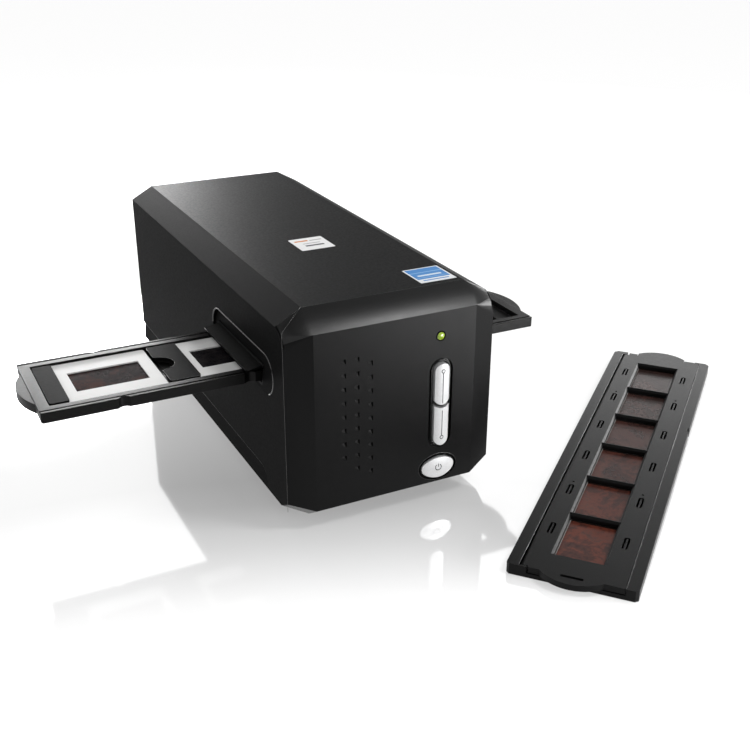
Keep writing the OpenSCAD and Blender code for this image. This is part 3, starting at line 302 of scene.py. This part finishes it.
FINISHES = (
    (body_mat, "top_cover left_slot_frame right_slot_frame"),
    (bezel_mat, "front_bezel"),
    (base_mat, "base_tray rear_panel"),
    (door_mat, "left_dust_door right_dust_door"),
    (gloss_mat, "scan_button_trim power_button_trim lens_barrel"),
    (silver_mat, "upper_scan_button lower_scan_button power_button"),
    (lens_mat, "status_lens"),
    (board_mat, "button_board sensor_board main_board"),
    (part_mat, "tact_switches dc_jack"),
    (rubber_mat, "rubber_feet"),
    (steel_mat, "left_door_pin right_door_pin strip_hinge_pins base_screws detent_springs"),
    (steel_mat, "guide_rods lead_screw"),
    (plate_mat, "chassis stepper_motor"),
    (holder_mat, "film_guide lamp_housing scan_carriage slide_tray strip_base strip_cover"),
    (opal_mat, "lamp_diffuser lamp_board"),
    (nut_mat, "carriage_nut"),
    (mirror_mat, "fold_mirror"),
    (port_mat, "usb_port"),
    (clip_mat, "slide_clips"),
    (mount_mat, "slide_mount_1 slide_mount_2 slide_mount_3"),
    (warm_film, "slide_film_1 slide_film_3"),
    (dark_film, "slide_film_2 film_strip"),
)
MATERIAL = {name: material for material, names in FINISHES for name in names.split()}

for name, obj in NODES.items():
    for material_slot in obj.material_slots:
        material_slot.material = MATERIAL[name]

# ---------------------------------------------------------------- softened copies of the moulded pieces

WELD = 2 * MICRON
FLAT_ANGLE = math.radians(0.6)
EDGE_ANGLE = math.radians(28)
# how wide each moulding's edges are rounded, in millimetres
EDGE_WIDTH = {
    "top_cover": 0.45, "front_bezel": 0.5, "base_tray": 0.3, "rear_panel": 0.25, "left_dust_door": 0.15,
    "right_dust_door": 0.15, "scan_button_trim": 0.12, "power_button_trim": 0.12, "upper_scan_button": 0.5,
    "lower_scan_button": 0.5, "power_button": 0.7, "slide_tray": 0.2, "slide_clips": 0.3, "strip_base": 0.25,
    "strip_cover": 0.15, "slide_mount_1": 0.15, "slide_mount_2": 0.15, "slide_mount_3": 0.15,
}


def soften(name, width):
    """A copy of a CAD node with rounded edges, which stands for it."""
    mesh = NODES[name].data.copy()
    if mesh.has_custom_normals:
        attribute = mesh.attributes.get("custom_normal")
        if attribute:
            mesh.attributes.remove(attribute)
    bm = bmesh.new()
    bm.from_mesh(mesh)
    bmesh.ops.remove_doubles(bm, verts=bm.verts, dist=WELD)
    bmesh.ops.dissolve_limit(bm, angle_limit=FLAT_ANGLE, verts=bm.verts, edges=bm.edges)
    for face in bm.faces:
        face.smooth = True
    bm.to_mesh(mesh)
    bm.free()
    mesh.materials.clear()
    mesh.materials.append(MATERIAL[name])
    obj = bpy.data.objects.new(name + "_moulding", mesh)
    scene.collection.objects.link(obj)
    bevel = obj.modifiers.new("bevel", "BEVEL")
    bevel.width = width * MM
    bevel.segments = 3 if width > 0.4 else 2
    bevel.limit_method = "ANGLE"
    bevel.angle_limit = EDGE_ANGLE
    bevel.use_clamp_overlap = True
    bevel.harden_normals = False
    normals = obj.modifiers.new("normals", "WEIGHTED_NORMAL")
    normals.keep_sharp = False
    normals.weight = 60
    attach(obj, BODY[name])
    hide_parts(name)
    return obj


def on_side(face):
    return abs(face.normal.x) > 0.3


def on_brow(face):
    """The sloped and curved faces between the bezel's front and its top."""
    n = face.normal
    return n.z > 0.3 and n.y < -0.1 and abs(n.x) < 0.5 and face.center.z > 0.105


def in_dimple(face):
    """The small hollow faces in the left part of the bezel's front."""
    c = face.center
    in_field = -0.046 < c.x < 0.012 and 0.012 < c.z < 0.100
    return in_field and -0.1359 < c.y < -0.1330 and face.area < 6e-6


softened = {name: soften(name, width) for name, width in EDGE_WIDTH.items()}

# the mould's faces are not all polished alike: the sides are the dullest, the brow of the bezel the
# glossiest; the sides also get a lighter tone than the top, which is painted light
for name, material, chosen in (
        ("top_cover", side_painted_light_mat, on_side),
        ("front_bezel", brow_mat, on_brow),
        ("front_bezel", dimple_mat, in_dimple)):
    mesh = softened[name].data
    mesh.materials.append(material)
    for face in mesh.polygons:
        if chosen(face):
            face.material_index = len(mesh.materials) - 1

# ---------------------------------------------------------------- pieces and their outlines

BEAD_SIDES = 8


def arc(cx, cy, radius, start, end, steps):
    """Points on a circle round (cx, cy), from angle start to angle end in degrees."""
    turns = [math.radians(start + (end - start) * k / steps) for k in range(steps + 1)]
    return [(cx + radius * math.cos(a), cy + radius * math.sin(a)) for a in turns]


def ellipse(cx, cy, half_width, half_height, steps):
    """Points all round an ellipse, without a second one where it closes."""
    return [(cx + half_width * c, cy + half_height * s) for c, s in arc(0, 0, 1, 0, 360, steps)[:-1]]


def round_corners(width, depth, radius):
    """The outline of a rectangle with round corners, from (0, 0) to (width, depth)."""
    right, back = width - radius, depth - radius
    return (arc(right, radius, radius, -90, 0, 5) + arc(right, back, radius, 0, 90, 5)
            + arc(radius, back, radius, 90, 180, 5) + arc(radius, radius, radius, 180, 270, 5))


def add_piece(name, bm, material, node_name, matrix=None):
    """Makes a piece of a bmesh, which rides on the body of a CAD node."""
    mesh = bpy.data.meshes.new(name)
    bm.to_mesh(mesh)
    bm.free()
    mesh.materials.append(material)
    obj = bpy.data.objects.new(name, mesh)
    if matrix:
        obj.matrix_world = matrix
    scene.collection.objects.link(obj)
    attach(obj, BODY[node_name])
    return obj


def plate(name, outline, thick, edge, material, corner, node_name):
    """A thin flat piece with a softened rim, in millimetres; corner is where the outline's (0, 0) lies."""
    bm = bmesh.new()
    low = [bm.verts.new((x * MM, y * MM, 0)) for x, y in outline]
    high = [bm.verts.new((x * MM, y * MM, thick * MM)) for x, y in outline]
    bm.faces.new(list(reversed(low)))
    top = bm.faces.new(high)
    n = len(outline)
    for k in range(n):
        bm.faces.new((low[k], low[(k + 1) % n], high[(k + 1) % n], high[k]))
    if edge:
        bmesh.ops.bevel(bm, geom=list(top.edges), offset=edge * MM, segments=2, affect="EDGES")
    add_piece(name, bm, material, node_name, Matrix.Translation([c * MM for c in corner]))


def tube(name, points, radius, material, node_name, closed=False):
    """A round bead along a line of points in millimetres."""
    bm = bmesh.new()
    line = [Vector(p) * MM for p in points]
    rings = []
    n = len(line)
    for k, p in enumerate(line):
        ahead = line[(k + 1) % n] if closed or k < n - 1 else p
        behind = line[k - 1] if closed or k > 0 else p
        along = (ahead - behind).normalized()
        across = Vector((0, 0, 1)) if abs(along.z) < 0.9 else Vector((0, 1, 0))
        side = along.cross(across).normalized()
        over = side.cross(along)
        rings.append([bm.verts.new(p + (side * c + over * s) * radius * MM)
                      for c, s in arc(0, 0, 1, 0, 360, BEAD_SIDES)[:-1]])
    for k in range(n if closed else n - 1):
        a, b = rings[k], rings[(k + 1) % n]
        for j in range(BEAD_SIDES):
            following = (j + 1) % BEAD_SIDES
            bm.faces.new((a[j], a[following], b[following], b[j]))
    if not closed:
        bm.faces.new(rings[0])
        bm.faces.new(list(reversed(rings[-1])))
    bmesh.ops.recalc_face_normals(bm, faces=bm.faces)
    for face in bm.faces:
        face.smooth = len(face.verts) == 4
    add_piece(name, bm, material, node_name)


# ---------------------------------------------------------------- stickers on the top


def printed(name, paper, prints, gloss):
    """Printed paper or vinyl: prints is a list of (x0, x1, y0, y1, ink) in millimetres from its corner."""
    m, nt, bsdf = new_material(name)
    coords = nt.nodes.new("ShaderNodeTexCoord").outputs["Object"]
    split = nt.nodes.new("ShaderNodeSeparateXYZ")
    nt.links.new(coords, split.inputs["Vector"])
    fibre = noise(nt, coords, 1800, 3.0, 0.6)
    colour = ramp(nt, fibre, [(0.3, tuple(v * 0.95 for v in paper)), (0.7, paper)])
    for x0, x1, y0, y1, ink in prints:
        columns = band(nt, split.outputs["X"], x0 * MM, x1 * MM)
        rows = band(nt, split.outputs["Y"], y0 * MM, y1 * MM)
        colour = mix_colours(nt, math_node(nt, "MULTIPLY", columns, rows), colour, (*ink, 1))
    nt.links.new(colour, bsdf.inputs["Base Color"])
    nt.links.new(ramp(nt, fibre, [(0.3, gloss), (0.7, gloss + 0.08)]), bsdf.inputs["Roughness"])
    bsdf.inputs["Specular IOR Level"].default_value = 0.2
    bump(nt, [(fibre, 1.0)], bsdf, 4 * MICRON)
    return m


STICKER_THICK = 0.10
STICKER_EDGE = 0.03
TOP_Z = box_mm("top_cover")[1].z
ORANGE = (0.62, 0.22, 0.045)
LIGHT_INK = (0.34, 0.34, 0.35)
DARK_INK = (0.07, 0.07, 0.075)
BLUE = (0.035, 0.22, 0.56)
PALE_BLUE = (0.28, 0.50, 0.76)
PALEST_BLUE = (0.66, 0.74, 0.82)

white_sticker = printed("white_sticker_paper", (0.83, 0.83, 0.83), [
    (2.0, 10.2, 15.6, 17.6, ORANGE), (11.2, 18.6, 15.6, 17.0, LIGHT_INK),
    (5.2, 15.8, 10.9, 11.9, LIGHT_INK), (5.2, 16.6, 6.2, 8.4, DARK_INK)], 0.42)
blue_sticker = printed("blue_sticker_vinyl", (0.80, 0.82, 0.84), [
    (0.9, 20.3, 5.2, 20.8, BLUE), (0.9, 20.3, 14.6, 15.3, PALE_BLUE), (3.4, 17.6, 9.3, 11.3, PALEST_BLUE),
    (0.9, 20.3, 7.0, 7.4, PALE_BLUE), (3.0, 18.2, 2.4, 3.6, BLUE)], 0.30)
plate("white_sticker", round_corners(20.5, 21.5, 0.7), STICKER_THICK, STICKER_EDGE, white_sticker,
      (-10.4, -41.3, TOP_Z), "top_cover")
plate("blue_sticker", round_corners(21.2, 21.7, 0.5), STICKER_THICK, STICKER_EDGE, blue_sticker,
      (23.2, -118.0, TOP_Z), "top_cover")

# ---------------------------------------------------------------- printed marks on the buttons

CROWN_RADIUS = 9.0
DOME_RADIUS = 30.0
PAINT_LIFT = 0.04
PAINT_SUNK = 0.06
# the section of a painted line: how far to its side, as a share of its width, and how far over the surface
PAINT_SECTION = ((-0.5, -PAINT_SUNK), (-0.36, PAINT_LIFT), (0.36, PAINT_LIFT), (0.5, -PAINT_SUNK))
BUTTON_FRONT = box_mm("upper_scan_button")[0].y
BUTTON_X = middle_mm("lower_scan_button").x
BUTTON_LINE = 0.54
BUTTON_RING = 0.95
POWER_FRONT = box_mm("power_button")[0].y
POWER_X = middle_mm("power_button").x
POWER_Z = middle_mm("power_button").z
POWER_LINE = 0.50


def crown(x, z):
    """The y of a scan button's front, which is round from side to side."""
    return BUTTON_FRONT + CROWN_RADIUS - math.sqrt(CROWN_RADIUS ** 2 - (x - BUTTON_X) ** 2)


def dome(x, z):
    """The y of the power button's front, a part of a sphere."""
    return POWER_FRONT + DOME_RADIUS - math.sqrt(DOME_RADIUS ** 2 - (x - POWER_X) ** 2 - (z - POWER_Z) ** 2)


def line_path(x, z0, z1, steps=6):
    return [(x, z0 + (z1 - z0) * k / steps) for k in range(steps + 1)]


def ribbon(name, paths, width, surface, node_name):
    """Raised paint lines that follow a surface: each path is a list of (x, z); surface(x, z) gives y."""
    bm = bmesh.new()
    for path in paths:
        rows = []
        for k, (x, z) in enumerate(path):
            ax, az = path[max(k - 1, 0)]
            bx, bz = path[min(k + 1, len(path) - 1)]
            length = math.hypot(bx - ax, bz - az)
            nx, nz = -(bz - az) / length, (bx - ax) / length
            row = []
            for side, over in PAINT_SECTION:
                px, pz = x + nx * side * width, z + nz * side * width
                row.append(bm.verts.new((px * MM, (surface(px, pz) - over) * MM, pz * MM)))
            rows.append(row)
        for a, b in zip(rows, rows[1:]):
            for k in range(len(PAINT_SECTION) - 1):
                bm.faces.new((a[k], a[k + 1], b[k + 1], b[k]))
        bm.faces.new(rows[0])
        bm.faces.new(list(reversed(rows[-1])))
    bmesh.ops.recalc_face_normals(bm, faces=bm.faces)
    add_piece(name, bm, mark_mat, node_name)


ribbon("upper_button_mark", [arc(BUTTON_X, 77.0, BUTTON_RING, 0, 360, 28), line_path(BUTTON_X, 76.0, 58.6)],
       BUTTON_LINE, crown, "upper_scan_button")
ribbon("lower_button_mark", [arc(BUTTON_X, 38.6, BUTTON_RING, 0, 360, 28), line_path(BUTTON_X, 39.6, 54.4)],
       BUTTON_LINE, crown, "lower_scan_button")
ribbon("power_mark", [arc(POWER_X - 0.4, POWER_Z + 0.5, 1.75, 122, 418, 28),
                      line_path(POWER_X - 0.4, POWER_Z + 0.7, POWER_Z + 2.6, 3)],
       POWER_LINE, dome, "power_button")

# ---------------------------------------------------------------- thin beads: the pale ones are painted highlights along edges, the dark ones painted shade

HALF_W = box_mm("top_cover")[1].x
SUNK = 0.06

# a pale bead along the seam between the bezel and the cover: a painted highlight
SEAM_Y, SIDE_SEAM_Y = -121.8, -130.5
SHOULDER_X, SHOULDER_Z = HALF_W - 14.0, 111.1
SEAM_FOOT_Z = 11.4
tube("seam_painted_highlight", [(-HALF_W + SUNK, SIDE_SEAM_Y, SEAM_FOOT_Z), (-HALF_W + SUNK, SIDE_SEAM_Y, SHOULDER_Z),
                  (-SHOULDER_X - 0.2, SEAM_Y, TOP_Z - SUNK), (SHOULDER_X - 0.4, SEAM_Y, TOP_Z - SUNK),
                  (HALF_W - 0.5, SIDE_SEAM_Y, SHOULDER_Z)], 0.10, painted_highlight_lip_mat, "top_cover")

# round the lamp and the power button: dark rings of painted shade, and round the power button a pale ring of
# painted highlight
FACE_Y = -136.0
lamp = middle_mm("status_lens")
tube("lamp_painted_shade_ring", [(x, FACE_Y, z) for x, z in ellipse(lamp.x, lamp.z, 2.5, 2.5, 40)], 0.36, painted_shade_mat,
     "front_bezel", closed=True)
trim = middle_mm("power_button_trim")
trim_half = box_mm("power_button_trim")[1] - trim
for name, inset, radius, material in (
        ("power_painted_shade_ring", 0.25, 0.55, painted_shade_mat),
        ("power_painted_highlight_ring", -0.25, 0.16, painted_highlight_lip_mat)):
    outline = ellipse(trim.x, trim.z, trim_half.x - inset, trim_half.z - inset, 56)
    tube(name, [(x, FACE_Y + 0.05, z) for x, z in outline], radius, material, "front_bezel", closed=True)

# a pale bead over the slot's recess on the left side, from its rear end to its front end: a painted highlight
RECESS_Y0, RECESS_Y1, RECESS_Z = -116.9, -25.4, 80.0
RECESS_R = 11.0
recess_edge = (arc(RECESS_Y1 - RECESS_R, RECESS_Z, RECESS_R, 0, 90, 14)
               + arc(RECESS_Y0 + RECESS_R, RECESS_Z, RECESS_R, 90, 245, 14))
tube("recess_painted_highlight", [(-HALF_W + 0.12, y, z) for y, z in recess_edge], 0.42, painted_highlight_rim_mat, "top_cover")

# a lighter bead along the relief strip at the foot of the left side, a painted highlight; its bend at the
# front sinks into the side
RELIEF_TOP, RELIEF_R = 22.4, 9.0
RELIEF_REAR_Y, RELIEF_FRONT_Y, RELIEF_BEND_Y = 135.0, -94.0, -94.3
bend = arc(RELIEF_BEND_Y, RELIEF_TOP - RELIEF_R, RELIEF_R, 90, 180, 8)
relief_x = -HALF_W + SUNK
tube("relief_painted_highlight", [(relief_x, RELIEF_REAR_Y, RELIEF_TOP), (relief_x, RELIEF_FRONT_Y, RELIEF_TOP)]
     + [(relief_x + 0.10 * k / 8, *bend[k]) for k in range(1, 9)], 0.14, relief_painted_highlight_mat, "top_cover")

# ---------------------------------------------------------------- the slide holder's finger notches: painted glints on the clips' edges, dark plates for the shade under them

CLIP_CORNER = 1.55
NOTCH_RADIUS = 8.65
SHADE_PLATE_HALF = 23.9
# the left and front edges of a clip, with its finger notch and soft corners
clip_edge = (arc(1.6, 21.8, CLIP_CORNER, 100, 180, 4) + arc(1.6, 10.07, CLIP_CORNER, 180, 261, 4)
             + arc(0, 0, NOTCH_RADIUS, 81, -81, 16)
             + arc(1.6, -10.07, CLIP_CORNER, 99, 180, 4) + arc(1.6, -21.8, CLIP_CORNER, 180, 270, 4)
             + arc(14.4, -21.8, CLIP_CORNER, 270, 320, 3))
tray_middle = middle_mm("slide_tray")
tray_low = box_mm("slide_tray")[0]
clip_top = box_mm("slide_clips")[1].z
# on each clip a pale bead along its edge, a painted glint, and under its notch a dark plate in the tray's
# opening, which stands for the shade there so that the floor doesn't show through
for k in (1, 2, 3):
    edge = box_mm("slide_mount_%d" % k)[1].x
    tube("clip_edge_%d" % k, [(edge + 1.0 + x, tray_middle.y + y, clip_top - 0.10) for x, y in clip_edge],
         0.12, painted_highlight_rim_mat, "slide_clips")
    plate("finger_room_%d" % k, [(-2.7, -SHADE_PLATE_HALF), (3.4, -SHADE_PLATE_HALF), (3.4, SHADE_PLATE_HALF), (-2.7, SHADE_PLATE_HALF)],
          1.8, 0, holder_mat, (edge, tray_middle.y, tray_low.z + 0.2), "slide_tray")

# ---------------------------------------------------------------- film strip with its perforations

# where the strip holder's corner lies and how it is turned; in it, u runs along the film and v across
STRIP_AT = (20.4, -212.4)
STRIP_TURN = math.radians(41)
HOLDER_LENGTH = 283.0
FRAMES = 6
FRAME_PITCH = 41.9
PICTURE_LENGTH = 36.6
PICTURE_HALF = 12.1
PAINTED_HIGHLIGHT_TO = 15.0
FILM_MIDDLE_V = 32.0
FILM_THICK = 0.13
FILM_HALF = 17.5
HOLE_PITCH, HOLE_LENGTH = 4.75, 1.98
HOLE_INNER, HOLE_OUTER = 12.70, 15.49


def negative_material():
    """Developed frames with clear dark borders; the piece's own x runs along the film."""
    m, nt, bsdf = new_material("negative_strip_film")
    coords = nt.nodes.new("ShaderNodeTexCoord").outputs["Object"]
    split = nt.nodes.new("ShaderNodeSeparateXYZ")
    nt.links.new(coords, split.inputs["Vector"])
    along = math_node(nt, "DIVIDE", split.outputs["X"], FRAME_PITCH * MM)
    place = math_node(nt, "FRACT", along)
    number = math_node(nt, "FLOOR", along)
    margin = (FRAME_PITCH - PICTURE_LENGTH) / 2 / FRAME_PITCH
    in_length = band(nt, place, margin, 1 - margin)
    in_width = band(nt, split.outputs["Y"], -PICTURE_HALF * MM, PICTURE_HALF * MM)
    in_picture = math_node(nt, "MULTIPLY", in_length, in_width)
    # each frame looks at its own place of the noise, so that no two pictures are alike
    shift = nt.nodes.new("ShaderNodeCombineXYZ")
    nt.links.new(number, shift.inputs["Z"])
    moved = nt.nodes.new("ShaderNodeVectorMath")
    nt.links.new(coords, moved.inputs[0])
    nt.links.new(shift.outputs[0], moved.inputs[1])
    broad = noise(nt, moved.outputs[0], 55, 4.0, 0.6, 0.9)
    small = noise(nt, moved.outputs[0], 420, 4.0, 0.62, 0.4)
    tone = mix_values(nt, 0.35, broad, small)
    red_brown = ramp(nt, tone, [(0.34, (0.022, 0.009, 0.008)), (0.46, (0.056, 0.018, 0.013)),
                                (0.55, (0.115, 0.028, 0.016)), (0.63, (0.080, 0.028, 0.020)),
                                (0.74, (0.034, 0.019, 0.018))])
    dark_brown = ramp(nt, tone, [(0.34, (0.018, 0.011, 0.010)), (0.46, (0.028, 0.016, 0.014)),
                                 (0.55, (0.044, 0.021, 0.018)), (0.63, (0.036, 0.022, 0.019)),
                                 (0.74, (0.026, 0.019, 0.018))])
    # the last frames are darker pictures than the first
    later = math_node(nt, "MULTIPLY", number, 0.28)
    later.node.use_clamp = True
    pictures = mix_colours(nt, later, red_brown, dark_brown)
    border = ramp(nt, small, [(0.3, (0.008, 0.005, 0.004)), (0.7, (0.012, 0.007, 0.006))])
    colour = mix_colours(nt, in_picture, border, pictures)
    # a pale band along one edge of the pictures, over the film's clear edge: partly the film's edge, partly a
    # painted highlight
    painted_highlight_band = band(nt, split.outputs["Y"], PICTURE_HALF * MM, PAINTED_HIGHLIGHT_TO * MM)
    colour = mix_colours(nt, painted_highlight_band, colour, (0.26, 0.25, 0.245, 1))
    nt.links.new(colour, bsdf.inputs["Base Color"])
    nt.links.new(ramp(nt, small, [(0.3, 0.18), (0.7, 0.24)]), bsdf.inputs["Roughness"])
    bsdf.inputs["Specular IOR Level"].default_value = 0.16
    bump(nt, [(broad, 1.0)], bsdf, 3 * MICRON, 0.3)
    return m


def film_strip_piece():
    """A strip of 35 mm film with two rows of perforations, in the place of the plain CAD strip."""
    length = FRAME_PITCH * FRAMES
    count = int((length - 2.0) // HOLE_PITCH)
    start = (length - count * HOLE_PITCH) / 2 + (HOLE_PITCH - HOLE_LENGTH) / 2
    us = [0.0]
    for k in range(count):
        us += [start + k * HOLE_PITCH, start + k * HOLE_PITCH + HOLE_LENGTH]
    us.append(length)
    vs = [-FILM_HALF, -HOLE_OUTER, -HOLE_INNER, HOLE_INNER, HOLE_OUTER, FILM_HALF]
    bm = bmesh.new()
    grid = [[bm.verts.new((u * MM, v * MM, 0)) for v in vs] for u in us]
    for a in range(len(us) - 1):
        for b in range(len(vs) - 1):
            is_hole = a % 2 == 1 and b in (1, 3)
            if not is_hole:
                bm.faces.new((grid[a][b], grid[a + 1][b], grid[a + 1][b + 1], grid[a][b + 1]))
    made = bmesh.ops.extrude_face_region(bm, geom=list(bm.faces))
    lower = [g for g in made["geom"] if isinstance(g, bmesh.types.BMVert)]
    bmesh.ops.translate(bm, verts=lower, vec=(0, 0, -FILM_THICK * MM))
    bmesh.ops.recalc_face_normals(bm, faces=bm.faces)
    holder = Matrix.Translation((STRIP_AT[0] * MM, STRIP_AT[1] * MM, 0)) @ Matrix.Rotation(STRIP_TURN, 4, "Z")
    film_top = box_mm("film_strip")[1].z - 0.005
    in_holder = Matrix.Translation(((HOLDER_LENGTH - length) / 2 * MM, -FILM_MIDDLE_V * MM, film_top * MM))
    obj = add_piece("negative_strip", bm, negative_material(), "film_strip", holder @ in_holder)
    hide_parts("film_strip")


def strip_point(u, v, z):
    """A point of the strip holder's own u and v, in the scene's millimetres."""
    c, s = math.cos(STRIP_TURN), math.sin(STRIP_TURN)
    return (STRIP_AT[0] + u * c + v * s, STRIP_AT[1] + u * s - v * c, z)


film_strip_piece()

# pale beads along the inner edges of the strip holder's rails, beside its cover: painted highlights
RAIL_EDGE_Z = 5.92
for name, v, u0, u1 in (("rail_painted_highlight_left", 6.12, 1.5, 278.7), ("rail_painted_highlight_right", 58.28, 0.6, 280.7)):
    tube(name, [strip_point(u, v, RAIL_EDGE_Z) for u in (u0, u1)], 0.14, rail_painted_highlight_mat, "strip_base")

# ---------------------------------------------------------------- floor, world and lamps

FLOOR_HALF = 6.0
FLOOR_Z = -0.1 * MM
FLOOR_GREY = 0.60
FLOOR_ROUGHNESS = 0.06
FLOOR_GLOW = 0.67
# How much of the floor is gloss, by how low it is looked at (0 = from straight above, 1 = along it)
FLOOR_GLOSS = [(0.365, 0.03), (0.41, 0.20), (0.45, 0.43), (0.48, 0.55), (0.50, 0.57), (0.60, 0.34),
               (0.66, 0.21), (1.0, 0.15)]
# The sky's level, by the height of the direction: white at the horizon, a wide soft light above
SKY = [(0.20, 0.95), (0.32, 0.20), (0.46, 0.86), (0.60, 0.86), (0.76, 0.34), (1.00, 0.22)]


def seen_rays(nt):
    """1 for the rays that show the floor to the camera, in gloss or through something clear, else 0."""
    path = nt.nodes.new("ShaderNodeLightPath").outputs
    glossy_or_clear = math_node(nt, "MAXIMUM", path["Is Glossy Ray"], path["Is Transmission Ray"])
    return math_node(nt, "MAXIMUM", path["Is Camera Ray"], glossy_or_clear)


def floor_material():
    """White acrylic: a matt grey that glows up to white, with a mirror in it; from below it is not there."""
    m = bpy.data.materials.new("white_acrylic_floor")
    m.use_nodes = True
    nt = m.node_tree
    nt.nodes.clear()
    matt = new_node(nt, "ShaderNodeBsdfDiffuse", Color=(FLOOR_GREY, FLOOR_GREY, FLOOR_GREY, 1))
    glow = new_node(nt, "ShaderNodeEmission", Color=(1, 1, 1, 1))
    nt.links.new(math_node(nt, "MULTIPLY", seen_rays(nt), FLOOR_GLOW), glow.inputs["Strength"])
    pale = nt.nodes.new("ShaderNodeAddShader")
    nt.links.new(matt.outputs["BSDF"], pale.inputs[0])
    nt.links.new(glow.outputs["Emission"], pale.inputs[1])
    mirror = new_node(nt, "ShaderNodeBsdfGlossy", Color=(1, 1, 1, 1), Roughness=FLOOR_ROUGHNESS)
    facing = new_node(nt, "ShaderNodeLayerWeight", Blend=0.5).outputs["Facing"]
    upper = nt.nodes.new("ShaderNodeMixShader")
    nt.links.new(ramp(nt, facing, FLOOR_GLOSS), upper.inputs["Fac"])
    nt.links.new(pale.outputs["Shader"], upper.inputs[1])
    nt.links.new(mirror.outputs["BSDF"], upper.inputs[2])
    one_sided = nt.nodes.new("ShaderNodeMixShader")
    nt.links.new(nt.nodes.new("ShaderNodeNewGeometry").outputs["Backfacing"], one_sided.inputs["Fac"])
    nt.links.new(upper.outputs["Shader"], one_sided.inputs[1])
    nt.links.new(nt.nodes.new("ShaderNodeBsdfTransparent").outputs["BSDF"], one_sided.inputs[2])
    out = nt.nodes.new("ShaderNodeOutputMaterial")
    nt.links.new(one_sided.outputs["Shader"], out.inputs["Surface"])
    return m


floor_mesh = bpy.data.meshes.new("floor")
floor_corners = [(-FLOOR_HALF, -FLOOR_HALF, 0), (FLOOR_HALF, -FLOOR_HALF, 0),
                 (FLOOR_HALF, FLOOR_HALF, 0), (-FLOOR_HALF, FLOOR_HALF, 0)]
floor_mesh.from_pydata(floor_corners, [], [(0, 1, 2, 3)])
floor_mesh.materials.append(floor_material())
floor = bpy.data.objects.new("floor", floor_mesh)
floor.location.z = FLOOR_Z
scene.collection.objects.link(floor)

world = bpy.data.worlds.new("studio")
scene.world = world
world.use_nodes = True
sky_nodes = world.node_tree
background = sky_nodes.nodes["Background"]
background.inputs["Color"].default_value = (1, 1, 1, 1)
heading = sky_nodes.nodes.new("ShaderNodeTexCoord")
axes = sky_nodes.nodes.new("ShaderNodeSeparateXYZ")
sky_nodes.links.new(heading.outputs["Generated"], axes.inputs["Vector"])
sky_nodes.links.new(ramp(sky_nodes, axes.outputs["Z"], SKY), background.inputs["Strength"])


def softbox(name, place, target, width, height, radiance):
    """A rectangular lamp of the given radiance, where a white wall in full light has 1; lengths in metres."""
    light = bpy.data.lights.new(name, "AREA")
    light.shape = "RECTANGLE"
    light.size = width
    light.size_y = height
    light.energy = radiance * math.pi * width * height
    obj = bpy.data.objects.new(name, light)
    obj.location = place
    obj.rotation_euler = (Vector(target) - Vector(place)).to_track_quat("-Z", "Y").to_euler()
    scene.collection.objects.link(obj)


# each lamp's place, target, width, height and radiance
softbox("back_left", (0.03, 0.75, 0.26), (0, 0, 0.119), 0.26, 0.14, 36.0)
softbox("back_right", (1.06, 0.68, 0.27), (0.2, -0.1, 0), 0.6, 0.28, 6.0)
softbox("front_near", (0.27, -0.46, 0.06), (0.02, -0.136, 0.06), 0.25, 0.08, 30.0)
softbox("front_high", (0.483, -0.54, 1.01), (0, -0.136, 0.11), 0.26, 0.26, 24.0)
softbox("left_high", (-0.75, -0.25, 1.0), (-0.1, -0.06, 0.07), 0.6, 0.6, 0.6)
softbox("right_low", (0.95, 0.03, 0.12), (0.15, -0.15, 0.01), 0.5, 0.16, 10.0)
